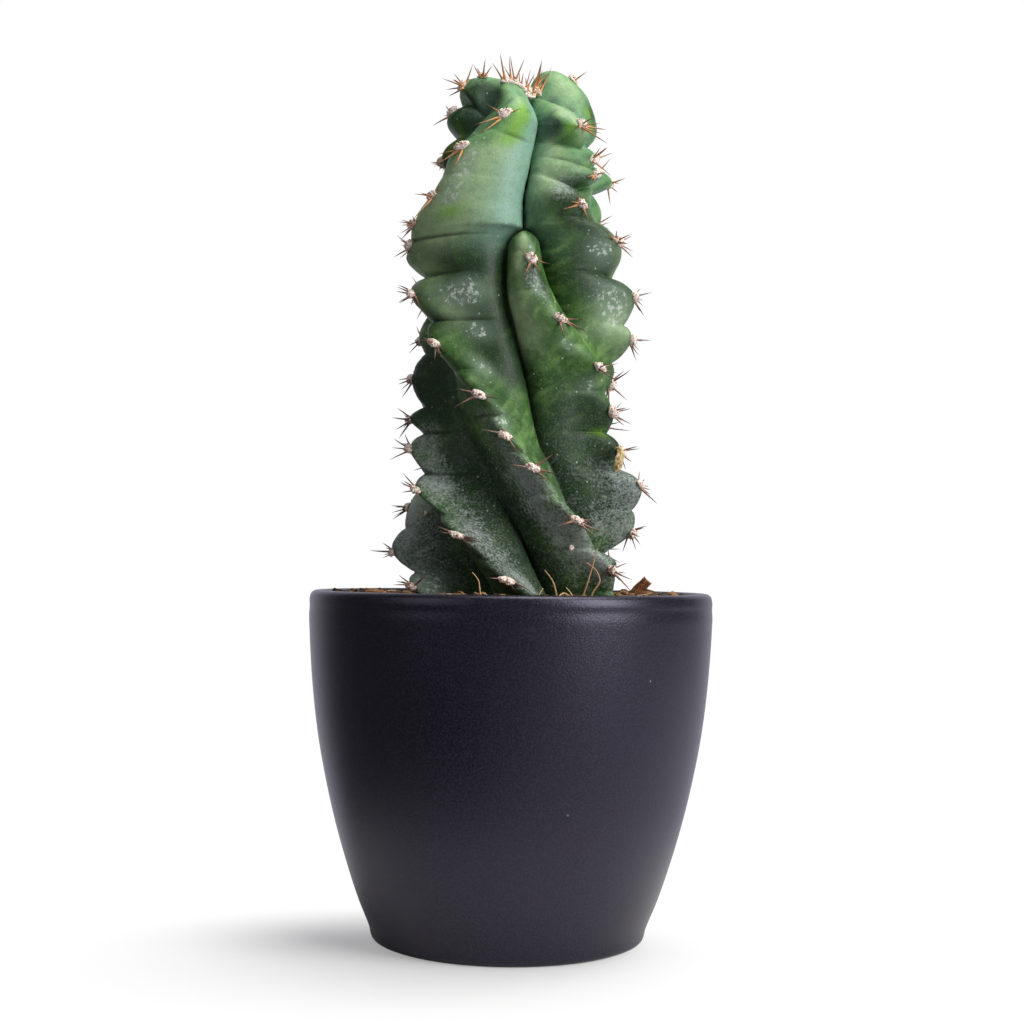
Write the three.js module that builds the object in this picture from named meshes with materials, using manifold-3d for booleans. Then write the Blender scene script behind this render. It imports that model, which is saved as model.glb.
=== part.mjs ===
// Potted spiral cereus: a ribbed, slowly turning column cactus in a matt dark ceramic pot.
// Millimetres, +Z up, origin at the middle of the pot's foot, the side with the short rib towards -Y.
import * as THREE from 'three';
import Module from 'manifold-3d';

const wasm = await Module();
wasm.setup();

// Driving sizes
const POT_HEIGHT = 123.5;
const POT_RADIUS = 72.1;
const FOOT_RADIUS = 48;
const WALL = 4.5;
const SOIL_TOP = 121;
const GAP = 0.35;

// Stem heights: below SOIL_TOP it is the buried foot, past SHOULDER the surface closes over the growing tip
const ROOT = 98;
const SHOULDER = 288;
const DOME_ARC = 40;
const AXIS_X = 1.5;
const TIP = { x: 4, y: -1.5, z: 300.5 };
const GROOVE_RISE = 1.4;

// The short rib begins as a round knob in the front groove
const KNOB_TOP = 251;
const KNOB_ROUND = 6.5;

// Sampling of the stem's surface
const ROWS_BELOW_KNOB = 38;
const ROWS_ABOVE_KNOB = 10;
const ROWS_ON_DOME = 9;
const STEPS_PER_FLANK = 3;
const SEGMENTS = 48;

// Areoles and spines
const PAD_RADIUS = 2.1;
const SPINE_RADIUS = 0.5;
const FEWEST_SPINES = 3;
const MOST_SPINES = 4;
const TIP_SPINES = 14;

// Shares of the section along the stem, as [height, value] pairs with a smooth curve through them.
// shoulder: how far a flank stands out, as a part of the crest's radius; ridge: half width of the crest
const SHOULDER_SHARE = [[98, 0.8], [185, 0.76], [215, 0.8], [240, 0.86], [262, 0.88], [288, 0.9]];
const RIDGE_WIDTH = [[98, 8], [121, 6.5], [190, 6.5], [215, 8], [240, 11], [262, 12], [288, 13]];
const SIDE_GROOVE = {
  floor: [[98, 11], [110, 20], [121, 18], [150, 20], [230, 19], [262, 18], [288, 15]],
  open: [[121, 1.2], [200, 1], [262, 0.6]],
};

// Ribs in the order they follow each other to the right. Each one gives, against height:
// turn, the compass of its crest in degrees (0 faces -Y, growing towards +X); crest, its radius;
// cut, the depth of the notches between its tubercles; reach, how far down the flank a notch runs.
// sag leans the notches down towards the groove, rise lifts the crest on the dome, droop lets a lobe hang.
// groove belongs to the furrow on the rib's right: floor is its radius, open how wide it gapes.
const RIBS = [
  {
    name: 'front left',
    turn: [[121, 63], [131, 53], [148, 31], [166, 8], [177, -6], [191, -20], [209, -46], [228, -66],
      [240, -76], [250, -76], [256, -66], [264, -52], [278, -37], [284, -24], [290, -11], [296, -10],
      [302, -20], [308, -32], [314, -41], [322, -48]],
    crest: [[98, 13], [108, 26], [116, 37], [121, 40], [148, 41], [166, 39], [191, 39], [209, 40],
      [247, 41], [254, 40], [262, 37.5], [278, 34], [288, 30], [298, 28], [310, 27]],
    areoles: [290, 278, 262, 253.5, 246.5, 228, 209.5, 191, 177, 166, 148.5, 131.5],
    notches: [285, 269, 248, 235, 218, 200, 184, 171.5, 157, 139, 124],
    cut: [[98, 0], [120, 3], [139, 4], [200, 5], [220, 7], [238, 7.5], [248, 2], [269, 0.7], [285, 0.9],
      [298, 0]],
    reach: [[98, 0.3], [210, 0.3], [235, 0.5], [262, 0.7], [280, 1.5]],
    droop: [[276, 0], [289, 0.6], [300, 0.4], [315, 0]],
    sag: [[240, 0], [250, 0], [270, 3], [286, 7]],
    rise: 11.5,
    groove: {
      turn: [[121, 79], [150, 56], [165, 36], [175, 21], [184, 15], [194, 10], [205, 3], [216, -4],
        [226, -11], [240, -13], [251, -11]],
      floor: [[98, 11], [110, 20], [121, 20], [150, 22], [175, 21], [184, 19], [205, 16], [251, 15.5]],
      open: [[121, 1.2], [160, 0.9], [175, 0.55], [190, 0.4], [251, 0.42]],
    },
  },
  {
    name: 'short rib',
    turn: [[121, 101], [130, 95], [145, 87], [162, 77], [173, 70], [187, 62], [202, 50], [210, 38],
      [217, 26], [228, 15], [238, 9], [251, 5]],
    crest: [[98, 13], [108, 26], [116, 34], [125, 34], [137, 38], [147, 42.5], [160, 45.5], [173, 39.5],
      [187, 38], [202, 37], [217, 34.5], [230, 31], [238, 29], [251, 26]],
    areoles: [239, 218, 202, 187, 173.5, 162, 145, 131],
    notches: [228, 209.5, 194, 180, 168, 153, 137.5, 125],
    cut: [[98, 0], [120, 3], [137, 8], [153, 3], [168, 6], [187, 4], [209, 2], [228, 1.5], [235, 0]],
    reach: [[98, 0.3], [251, 0.3]],
    shoulder: [[98, 0.8], [190, 0.78], [205, 0.84], [218, 0.95], [232, 1]],
    rise: GROOVE_RISE,
    groove: {
      turn: [[121, 118], [150, 104], [170, 92], [187, 82], [197, 74], [205, 64], [212, 52], [220, 41],
        [228, 31], [240, 23], [251, 20]],
      floor: [[98, 11], [110, 20], [121, 20], [150, 22], [187, 27], [197, 30], [207, 30.5], [214, 27],
        [222, 19], [240, 15], [251, 15.5]],
      open: [[121, 1.2], [190, 1.4], [212, 1.3], [222, 0.7], [240, 0.42]],
    },
  },
  {
    name: 'front right',
    turn: [[121, 141], [130, 135], [150, 122], [170, 112], [187, 104], [200, 97], [207, 90], [214, 82],
      [229, 76], [242, 70], [250, 60], [256, 42], [261, 38], [266, 46], [274, 57], [280, 60], [289, 46],
      [300, 44]],
    crest: [[98, 13], [108, 25], [116, 34], [150, 36], [165, 33.5], [185, 33], [200, 34.5], [208, 38.5],
      [214, 41], [229, 42.5], [240, 39.5], [248, 38.5], [256, 36], [262, 34], [270, 34], [277, 30.5],
      [289, 30.5], [300, 30]],
    areoles: [290.5, 277, 270.5, 258.5, 247.5, 229, 214, 199, 184, 169, 154, 139, 126],
    notches: [282, 273, 265.5, 253.5, 236, 219, 206, 192, 177, 162, 147, 132],
    cut: [[98, 0], [120, 3], [200, 5], [221, 4.5], [238, 9], [253, 3.5], [265, 9.5], [273, 2.5], [277, 3.5],
      [282, 8.5], [293, 0]],
    reach: [[98, 0.3], [200, 0.3], [240, 0.4], [262, 0.55], [267, 0.6], [273, 1], [284, 1.2]],
    droop: [[276, 0], [282, 1.4], [287, 1.6], [292, 0.8], [300, 0]],
    sag: [[240, 0], [262, -3], [274, -5], [282, 0]],
    rise: 3.5,
    groove: SIDE_GROOVE,
  },
  {
    name: 'back right',
    turn: [[121, 204], [130, 197], [150, 180], [170, 168], [187, 158], [200, 150], [229, 140], [248, 125],
      [259, 115], [269, 112], [280, 110], [300, 104], [320, 95]],
    crest: [[98, 13], [108, 26], [116, 36], [125, 40], [200, 41], [235, 38], [250, 34], [258, 32], [266, 33],
      [273, 36.5], [280, 31], [288, 30], [300, 30.5]],
    areoles: [305.5, 274.5, 258, 244, 230, 215, 201, 186, 171, 156, 141, 127],
    notches: [287, 281, 268.5, 250, 236, 221, 207, 192, 177, 162, 147, 132],
    cut: [[98, 0], [120, 3], [200, 5], [250, 6], [268, 10], [281, 8], [287, 7], [297, 0]],
    reach: [[98, 0.3], [235, 0.4], [275, 0.9]],
    ridge: [[98, 8], [121, 6.5], [190, 6.5], [240, 11], [262, 13], [288, 17]],
    droop: [[276, 0], [287, 3], [298, 1], [312, 0]],
    rise: 17.5,
    groove: SIDE_GROOVE,
  },
  {
    name: 'back left',
    turn: [[121, 310], [125, 303], [137, 275], [154, 250], [170, 232], [185, 215], [201, 205], [216, 195],
      [229, 188], [248, 182], [262, 190], [277, 202], [290, 207]],
    crest: [[98, 13], [108, 26], [116, 38], [125, 42.5], [137, 44.5], [154, 42.5], [185, 40], [250, 38],
      [270, 34], [288, 29], [300, 28]],
    areoles: [302, 289, 276, 262, 247, 231, 216, 200, 185, 170, 154, 137, 125.5],
    notches: [294, 281, 267, 252, 237, 222, 206, 191, 176, 165, 146, 130],
    cut: [[98, 0], [120, 4], [130, 6], [146, 3], [165, 5], [200, 5], [270, 6], [285, 4], [297, 0]],
    reach: [[98, 0.3], [235, 0.4], [280, 0.9]],
    rise: 12,
    groove: SIDE_GROOVE,
  },
  {
    name: 'left',
    turn: [[121, 369], [128, 356], [143, 332], [159, 301], [174, 281], [185, 268], [201, 256], [216, 244],
      [235, 240], [248, 243], [262, 253], [277, 265], [290, 280], [300, 293], [309, 301],
      [320, 301]],
    crest: [[98, 13], [108, 26], [116, 37], [128, 42.5], [143, 42.5], [159, 41], [174, 39], [201, 40],
      [240, 38], [250, 33], [258, 27], [266, 27], [273, 28], [280, 28.5], [287, 27.5], [293, 28], [300, 30.5],
      [308, 29]],
    areoles: [306, 300.5, 293.5, 279, 264, 247, 232, 216, 201, 185, 174, 159, 143, 128],
    notches: [295.5, 286.5, 272.3, 256, 240, 225, 210, 190, 180, 165, 150, 134.5, 122],
    cut: [[98, 0], [120, 3], [150, 5], [165, 7], [200, 5.5], [216, 6], [240, 5], [256, 3], [272, 5.5],
      [286.5, 6], [295.5, 9], [303, 1], [307, 0]],
    reach: [[98, 0.3], [235, 0.4], [270, 0.8]],
    droop: [[303, 0], [309, 3], [317, 4.5], [326, 0]],
    rise: 16,
    groove: {
      floor: [[98, 11], [110, 19], [121, 16], [140, 16], [160, 20], [185, 24], [205, 24], [230, 20],
        [262, 17], [288, 15]],
      open: [[121, 0.8], [145, 0.8], [165, 1.3], [205, 1.3], [235, 1.1], [262, 1.1], [285, 0.7]],
    },
  },
];
const SHORT_RIB = 1;

// The front groove above the knob, between the front left and the front right rib
const FRONT_GROOVE = {
  turn: [[251, 5], [262, 5], [274.5, 12], [286, 20], [299, 20], [320, 15]],
  floor: [[251, 15.5], [262, 15.5], [275, 15], [288, 12.5], [300, 12]],
};

// Outside of the pot from foot to lip, as [radius, height]
const POT_OUTSIDE = [
  [FOOT_RADIUS - 2, 0], [FOOT_RADIUS, 0.9], [49.4, 5], [53.1, 14], [58.5, 30.1], [62.3, 43.5], [65.4, 56.8],
  [68.4, 72.8], [70.4, 88.8], [71.3, 99.4], [71.9, 110], [POT_RADIUS, 115.3], [71.8, 118], [72, 120.6],
  [71.3, 122.7], [69.9, POT_HEIGHT],
];
// Inside of the pot from lip to floor
const POT_INSIDE = [
  [68.6, 123.4], [67.5, 122.4], [POT_RADIUS - WALL, 120.4], [67.4, 112], [66, 94], [63.2, 70], [58.2, 46],
  [52.4, 26], [46, 11], [41, 6.2], [36, WALL],
];

// Smooth curve through [x, y] pairs, level beyond its ends
function through(points, x) {
  const last = points.length - 1;
  if (x <= points[0][0]) return points[0][1];
  if (x >= points[last][0]) return points[last][1];
  let i = 0;
  while (x >= points[i + 1][0]) i += 1;
  const slope = (a, b) => (points[b][1] - points[a][1]) / (points[b][0] - points[a][0]);
  const tangent = (k) => {
    if (k === 0) return slope(0, 1);
    if (k === last) return slope(last - 1, last);
    const before = points[k][0] - points[k - 1][0];
    const after = points[k + 1][0] - points[k][0];
    return (slope(k - 1, k) * after + slope(k, k + 1) * before) / (before + after);
  };
  const [x0, y0] = points[i];
  const [x1, y1] = points[i + 1];
  const h = x1 - x0;
  const t = (x - x0) / h;
  const t2 = t * t;
  const t3 = t2 * t;
  return (2 * t3 - 3 * t2 + 1) * y0 + (t3 - 2 * t2 + t) * h * tangent(i)
    + (3 * t2 - 2 * t3) * y1 + (t3 - t2) * h * tangent(i + 1);
}

const clamp = (x, low, high) => Math.min(high, Math.max(low, x));
const radians = (degrees) => degrees * Math.PI / 180;

function seededRandom(seed) {
  let state = seed;
  return () => {
    state = (state * 1664525 + 1013904223) % 4294967296;
    return state / 4294967296;
  };
}

// Closed surface from rings of equal length, listed so that they climb the outside; the first and
// the last ring are single points. Points that fall together are joined and flat triangles dropped.
function closedSurface(rings) {
  const vertices = [];
  const numbers = new Map();
  const number = (p) => {
    const key = p.map((c) => Math.round(c * 500)).join(',');
    if (!numbers.has(key)) {
      numbers.set(key, vertices.length / 3);
      vertices.push(...p);
    }
    return numbers.get(key);
  };
  const grid = rings.map((ring) => ring.map(number));
  const triangles = [];
  const triangle = (a, b, c) => {
    if (a !== b && b !== c && c !== a) triangles.push(a, b, c);
  };
  for (let i = 0; i + 1 < grid.length; i += 1) {
    const low = grid[i];
    const high = grid[i + 1];
    for (let j = 0; j < low.length; j += 1) {
      const k = (j + 1) % low.length;
      triangle(low[j], low[k], high[k]);
      triangle(low[j], high[k], high[j]);
    }
  }
  return solid(vertices, triangles);
}

function solid(vertices, triangles) {
  return new wasm.Manifold(new wasm.Mesh({
    numProp: 3,
    vertProperties: new Float32Array(vertices),
    triVerts: new Uint32Array(triangles),
  }));
}

function pointRing(x, y, z, count) {
  return Array.from({ length: count }, () => [x, y, z]);
}

// Turned body from a profile of [radius, height] that starts and ends on the axis
function turned(profile) {
  const rings = profile.map(([radius, height]) => Array.from({ length: SEGMENTS }, (_, j) => {
    const angle = 2 * Math.PI * j / SEGMENTS;
    return [radius * Math.sin(angle), -radius * Math.cos(angle), height];
  }));
  return closedSurface(rings);
}

// 1 at the fullest part of a tubercle, 0 in the notch above and below it
function fullness(height, notches) {
  const all = [notches[0] + 14, ...notches];
  while (all[all.length - 1] > ROOT) all.push(all[all.length - 1] - 14);
  let i = 0;
  while (i + 2 < all.length && height < all[i + 1]) i += 1;
  const down = clamp((all[i] - height) / (all[i] - all[i + 1]), 0, 1);
  return Math.sin(Math.PI * down ** 0.8) ** 0.8;
}

// How far the short rib has grown out of the front groove, 0 above the knob
function growth(height) {
  if (height >= KNOB_TOP) return 0;
  const left = clamp((height - KNOB_TOP + KNOB_ROUND) / KNOB_ROUND, 0, 1);
  return Math.sqrt(1 - left * left);
}

// Crests and grooves of all ribs at one height
function sectionAt(height) {
  const grown = growth(height);
  const front = radians(through(FRONT_GROOVE.turn, height));
  const crests = RIBS.map((rib) => radians(through(rib.turn, height)));
  const grooves = RIBS.map((rib, i) => {
    const next = i + 1 < RIBS.length ? crests[i + 1] : crests[0] + 2 * Math.PI;
    const turn = rib.groove.turn ? radians(through(rib.groove.turn, height)) : (crests[i] + next) / 2;
    return { turn, floor: through(rib.groove.floor, height), open: through(rib.groove.open, height) };
  });
  for (const groove of [grooves[0], grooves[SHORT_RIB]]) {
    groove.turn = front + (groove.turn - front) * grown;
    if (height >= KNOB_TOP) groove.floor = through(FRONT_GROOVE.floor, height);
  }
  crests[SHORT_RIB] = front + (crests[SHORT_RIB] - front) * grown;
  return { crests, grooves, grown };
}

// Point of the stem's skin on rib i, at a share of the way from its crest to the groove on that side
function skinPoint(height, section, i, side, share) {
  const rib = RIBS[i];
  const turnOver = clamp((height - SHOULDER) / DOME_ARC, 0, 1) * Math.PI;
  const shrink = (1 + Math.cos(turnOver)) / 2;
  const groove = side < 0 ? section.grooves[(i + RIBS.length - 1) % RIBS.length] : section.grooves[i];
  const grooveTurn = side < 0 && i === 0 ? groove.turn - 2 * Math.PI : groove.turn;
  const floor = groove.floor;
  const crest = through(rib.crest, height);
  const lean = height + (rib.sag ? through(rib.sag, height) * share : 0);
  const reach = through(rib.reach, height);
  const fade = Math.exp(-1.2 * (share / reach) ** 2);
  const notch = through(rib.cut, lean) * (1 - fullness(lean, rib.notches)) * fade;
  const grown = i === SHORT_RIB ? section.grown : 1;
  const standing = Math.max(floor, through(rib.shoulder ?? SHOULDER_SHARE, height) * crest - 0.8 * notch);
  const flank = floor + (standing - floor) * grown;
  const top = floor + (crest - notch - floor) * grown;
  const span = grooveTurn - section.crests[i];
  const away = Math.abs(span) * share * crest;
  const ridge = Math.exp(-((away / through(rib.ridge ?? RIDGE_WIDTH, height)) ** 2));
  const wall = Math.sin(Math.PI / 2 * (1 - share)) ** groove.open;
  const radius = floor + (flank - floor) * wall + (top - flank) * ridge * Math.min(1, 3 * wall);
  const angle = section.crests[i] + span * share;
  const hang = rib.droop ? through(rib.droop, height) * (radius - floor) / (crest - floor) : 0;
  const level = height < SHOULDER ? height : SHOULDER + (TIP.z - SHOULDER) * (1 - shrink);
  const lift = (GROOVE_RISE + (rib.rise - GROOVE_RISE) * (1 - share * share)) * Math.sin(turnOver);
  return [
    AXIS_X + (TIP.x - AXIS_X) * (1 - shrink) + radius * shrink * Math.sin(angle),
    TIP.y * (1 - shrink) - radius * shrink * Math.cos(angle),
    level + lift - hang,
  ];
}

// One ring of the skin, from groove over crest to groove for each rib in turn; grow widens it evenly
function skinRing(height, grow = 0) {
  const section = sectionAt(height);
  const spaced = (k) => 0.45 * k + 0.55 * Math.sin(Math.PI / 2 * k);
  const ring = [];
  RIBS.forEach((rib, i) => {
    for (let k = STEPS_PER_FLANK; k > 0; k -= 1) {
      ring.push(skinPoint(height, section, i, -1, spaced(k / STEPS_PER_FLANK)));
    }
    for (let k = 0; k < STEPS_PER_FLANK; k += 1) {
      ring.push(skinPoint(height, section, i, 1, spaced(k / STEPS_PER_FLANK)));
    }
  });
  if (grow === 0) return ring;
  const outward = ([ax, ay], [bx, by]) => {
    const length = Math.hypot(bx - ax, by - ay);
    return [(by - ay) / length, (ax - bx) / length];
  };
  return ring.map((point, j) => {
    const [ux, uy] = outward(ring[(j + ring.length - 1) % ring.length], point);
    const [vx, vy] = outward(point, ring[(j + 1) % ring.length]);
    const mitre = grow / (1 + Math.max(-0.4, ux * vx + uy * vy));
    return [point[0] + mitre * (ux + vx), point[1] + mitre * (uy + vy), point[2]];
  });
}

function evenly(from, to, steps) {
  return Array.from({ length: steps }, (_, k) => from + (to - from) * k / steps);
}

const ROW_HEIGHTS = [
  ...evenly(ROOT, KNOB_TOP, ROWS_BELOW_KNOB),
  ...evenly(KNOB_TOP, SHOULDER, ROWS_ABOVE_KNOB),
  ...evenly(SHOULDER, SHOULDER + DOME_ARC, ROWS_ON_DOME),
];

function stemSkin() {
  const rings = ROW_HEIGHTS.map((height) => skinRing(height));
  const count = rings[0].length;
  return closedSurface([
    pointRing(AXIS_X, 0, ROOT, count),
    ...rings,
    pointRing(TIP.x, TIP.y, TIP.z, count),
  ]);
}

// Hollow that the buried foot of the stem stands in, one gap wider than the foot all round
function stemHollow() {
  const heights = ROW_HEIGHTS.filter((height) => height < SOIL_TOP + 8);
  const rings = heights.map((height) => skinRing(height, 1.4 * GAP));
  const count = rings[0].length;
  return closedSurface([
    pointRing(AXIS_X, 0, ROOT - GAP, count),
    rings[0].map(([x, y]) => [x, y, ROOT - GAP]),
    ...rings,
    pointRing(AXIS_X, 0, heights[heights.length - 1], count),
  ]);
}

// Seat of an areole on a crest: the point, the way out of the skin, across it and up along it
function seatOn(i, height) {
  const crestAt = (h) => new THREE.Vector3(...skinPoint(h, sectionAt(h), i, 1, 0));
  const point = crestAt(height);
  const up = crestAt(height + 1).sub(crestAt(height - 1)).normalize();
  const angle = sectionAt(height).crests[i];
  const across = new THREE.Vector3(Math.cos(angle), Math.sin(angle), 0);
  const out = new THREE.Vector3().crossVectors(across, up).normalize();
  return { point, out, across, up };
}

// Low five-sided cushion of wool, its lower half sunk in the skin
function woolPad({ point, out, across, up }, radius) {
  const place = (a, b, c) => point.clone()
    .addScaledVector(across, a)
    .addScaledVector(up, b)
    .addScaledVector(out, c);
  const ring = Array.from({ length: 5 }, (_, k) => {
    const angle = Math.PI / 2.5 * k;
    return place(radius * Math.cos(angle), radius * Math.sin(angle), 0.15);
  });
  const vertices = [place(0, 0, -1.7), ...ring, place(0, 0, 0.95)].flatMap((v) => v.toArray());
  const triangles = [];
  for (let k = 0; k < 5; k += 1) {
    const a = 1 + k;
    const b = 1 + (k + 1) % 5;
    triangles.push(0, b, a, 6, a, b);
  }
  return solid(vertices, triangles);
}

// Three-sided needle from a sunk root to a point
function needle(root, tip, radius) {
  const way = tip.clone().sub(root).normalize();
  const side = new THREE.Vector3(0, 0, 1).cross(way);
  if (side.lengthSq() < 0.01) side.set(1, 0, 0);
  side.normalize();
  const other = new THREE.Vector3().crossVectors(way, side);
  const vertices = [...tip.toArray()];
  for (let k = 0; k < 3; k += 1) {
    const angle = 2 * Math.PI / 3 * k;
    const corner = root.clone()
      .addScaledVector(side, radius * Math.cos(angle))
      .addScaledVector(other, radius * Math.sin(angle));
    vertices.push(...corner.toArray());
  }
  return solid(vertices, [0, 1, 2, 0, 2, 3, 0, 3, 1, 1, 3, 2]);
}

// Spread of one areole's spines: most lie out round the pad, the first stands nearer to straight out
function areoleSpines(seat, random) {
  const start = random() * Math.PI * 2;
  const count = random() < 0.5 ? FEWEST_SPINES : MOST_SPINES;
  return Array.from({ length: count }, (_, k) => {
    const round = start + 2 * Math.PI * (k + 0.5 * random()) / count;
    const splay = k === 0 ? radians(15 + 25 * random()) : radians(50 + 20 * random());
    const way = seat.out.clone().multiplyScalar(Math.cos(splay))
      .addScaledVector(seat.across, Math.sin(splay) * Math.cos(round))
      .addScaledVector(seat.up, Math.sin(splay) * Math.sin(round));
    const length = 6 + 6 * random();
    if (seat.point.z + way.z * length < SOIL_TOP + 5) way.setZ(Math.abs(way.z)).normalize();
    const root = seat.point.clone().addScaledVector(seat.out, -0.9).addScaledVector(way, -0.2);
    const tip = seat.point.clone().addScaledVector(way, length);
    return needle(root, tip, SPINE_RADIUS);
  });
}

// Upright tuft of young spines round the growing tip
function tipTuft(random) {
  const centre = new THREE.Vector3(TIP.x, TIP.y, TIP.z);
  return Array.from({ length: TIP_SPINES }, (_, k) => {
    const round = 2 * Math.PI * (k + 0.6 * random()) / TIP_SPINES * 2;
    const off = k < TIP_SPINES / 2 ? 2 : 5.5;
    const lean = k < TIP_SPINES / 2 ? radians(10 + 12 * random()) : radians(25 + 20 * random());
    const foot = centre.clone().add(new THREE.Vector3(off * Math.sin(round), -off * Math.cos(round), 0));
    const way = new THREE.Vector3(
      Math.sin(lean) * Math.sin(round),
      -Math.sin(lean) * Math.cos(round),
      Math.cos(lean),
    );
    const length = 9 + 6 * random();
    const root = foot.clone().addScaledVector(way, -2.5);
    return needle(root, foot.clone().addScaledVector(way, length), SPINE_RADIUS);
  });
}

function stem() {
  const random = seededRandom(41);
  let body = stemSkin();
  const growths = [];
  RIBS.forEach((rib, i) => {
    for (const height of rib.areoles) {
      const seat = seatOn(i, height);
      if (seat.point.z < SOIL_TOP + 5) continue;
      growths.push(woolPad(seat, height > SHOULDER ? PAD_RADIUS - 0.3 : PAD_RADIUS));
      growths.push(...areoleSpines(seat, random));
    }
  });
  growths.push(...tipTuft(random));
  for (const piece of growths) body = body.add(piece);
  return body;
}

// Broken bark stick that leans out of the soil on the right
const STICK = { from: [34, -5.6, 115.5], to: [49.6, -7.4, 128.2], radius: 1.7, sides: 7 };

function rod(from, to, radius, sides, rough = 0) {
  const random = seededRandom(7);
  const start = new THREE.Vector3(...from);
  const end = new THREE.Vector3(...to);
  const way = end.clone().sub(start).normalize();
  const side = new THREE.Vector3(0, 0, 1).cross(way).normalize();
  const other = new THREE.Vector3().crossVectors(way, side);
  const ring = (share, scale, ragged) => Array.from({ length: sides }, (_, j) => {
    const angle = 2 * Math.PI * j / sides;
    const r = radius * scale * (1 - rough * random());
    return start.clone().lerp(end, share)
      .addScaledVector(side, r * Math.cos(angle))
      .addScaledVector(other, r * Math.sin(angle))
      .addScaledVector(way, ragged * random())
      .toArray();
  });
  return closedSurface([
    pointRing(...from, sides),
    ring(0, 1, 0),
    ring(0.35, 1, 0),
    ring(0.7, 0.97, 0),
    ring(0.97, 0.9, rough * 5),
    pointRing(...to, sides),
  ]);
}

function stick() {
  return rod(STICK.from, STICK.to, STICK.radius, STICK.sides, 0.22);
}

function stickHollow() {
  const { from, to, radius } = STICK;
  const way = new THREE.Vector3(...to).sub(new THREE.Vector3(...from)).normalize();
  const lower = new THREE.Vector3(...from).addScaledVector(way, -GAP).toArray();
  return rod(lower, to, (radius + GAP) / Math.cos(Math.PI / 12), 12);
}

// Thin dry root that arches out of the soil
function rootlet(azimuth, radius, reach, height) {
  const steps = 7;
  const sides = 4;
  const thickness = 0.55;
  const at = (share) => {
    const angle = radians(azimuth + reach * (share - 0.5));
    const out = radius + 2 * Math.sin(Math.PI * share * 1.7);
    const level = SOIL_TOP - 2 + height * Math.sin(Math.PI * 0.72 * share);
    return new THREE.Vector3(out * Math.sin(angle), -out * Math.cos(angle), level);
  };
  const rings = [];
  for (let k = 0; k <= steps; k += 1) {
    const centre = at(k / steps);
    const way = at(k / steps + 0.02).sub(at(k / steps - 0.02)).normalize();
    const side = new THREE.Vector3(Math.sin(radians(azimuth)), -Math.cos(radians(azimuth)), 0);
    side.addScaledVector(way, -side.dot(way)).normalize();
    const other = new THREE.Vector3().crossVectors(way, side);
    rings.push(Array.from({ length: sides }, (_, j) => {
      const angle = 2 * Math.PI * j / sides;
      return centre.clone()
        .addScaledVector(side, thickness * Math.cos(angle))
        .addScaledVector(other, thickness * Math.sin(angle))
        .toArray();
    }));
  }
  return closedSurface([
    pointRing(...at(0).toArray(), sides),
    ...rings,
    pointRing(...at(1).toArray(), sides),
  ]);
}

// Bark crumb: a small turned box, half sunk in the soil
function crumb(random) {
  const angle = random() * 2 * Math.PI;
  const out = 49 + 13 * random();
  const half = [1.4 + 1.8 * random(), 0.9 + 1.1 * random(), 0.6 + 0.6 * random()];
  const turn = new THREE.Euler(0.7 * random() - 0.35, 0.7 * random() - 0.35, Math.PI * random());
  const centre = new THREE.Vector3(out * Math.sin(angle), -out * Math.cos(angle), SOIL_TOP + 0.2);
  const vertices = [];
  const corners = [[-1, -1], [1, -1], [1, 1], [-1, 1]];
  for (const sz of [-1, 1]) {
    for (const [sx, sy] of corners) {
      const corner = new THREE.Vector3(sx * half[0], sy * half[1], sz * half[2]).applyEuler(turn).add(centre);
      vertices.push(...corner.toArray());
    }
  }
  const triangles = [
    0, 2, 1, 0, 3, 2, 4, 5, 6, 4, 6, 7, 0, 1, 5, 0, 5, 4,
    1, 2, 6, 1, 6, 5, 2, 3, 7, 2, 7, 6, 3, 0, 4, 3, 4, 7,
  ];
  return solid(vertices, triangles);
}

// Soil that fills the pot, with crumbs and dry rootlets on top and a hollow for the stem and the stick
function soil() {
  const inside = [...POT_INSIDE].reverse().filter(([, height], k) => k % 2 === 0 && height < SOIL_TOP - 2);
  const walls = inside.map(([radius, height]) => [radius - GAP, height + GAP]);
  const edge = POT_RADIUS - WALL - GAP - 0.2;
  const waves = (angle, radius) => 0.5 * Math.sin(3 * angle + 0.08 * radius)
    + 0.45 * Math.sin(7 * angle - 0.2 * radius) + 0.35 * Math.cos(0.4 * radius + 2 * angle);
  const top = [[edge, -0.8], [edge - 4, 0], [edge - 11, 0.2], [edge - 19, 0.1], [edge - 30, 0]];
  const ringOf = (radius, height, wavy) => Array.from({ length: SEGMENTS }, (_, j) => {
    const angle = 2 * Math.PI * j / SEGMENTS;
    return [radius * Math.sin(angle), -radius * Math.cos(angle), height + (wavy ? waves(angle, radius) : 0)];
  });
  let bed = closedSurface([
    pointRing(0, 0, WALL + GAP, SEGMENTS),
    ...walls.map(([radius, height]) => ringOf(radius, height, false)),
    ...top.map(([radius, height]) => ringOf(radius, SOIL_TOP + height, true)),
    pointRing(0, 0, SOIL_TOP, SEGMENTS),
  ]);
  const random = seededRandom(12);
  for (let k = 0; k < 22; k += 1) bed = bed.add(crumb(random));
  bed = bed.add(rootlet(24, 55, 16, 8));
  bed = bed.add(rootlet(43, 57, 12, 10));
  bed = bed.add(rootlet(-30, 58, 14, 6));
  return bed.subtract(stemHollow()).subtract(stickHollow());
}

function pot() {
  return turned([[0, 0], ...POT_OUTSIDE, ...POT_INSIDE, [0, WALL]]);
}

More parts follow.
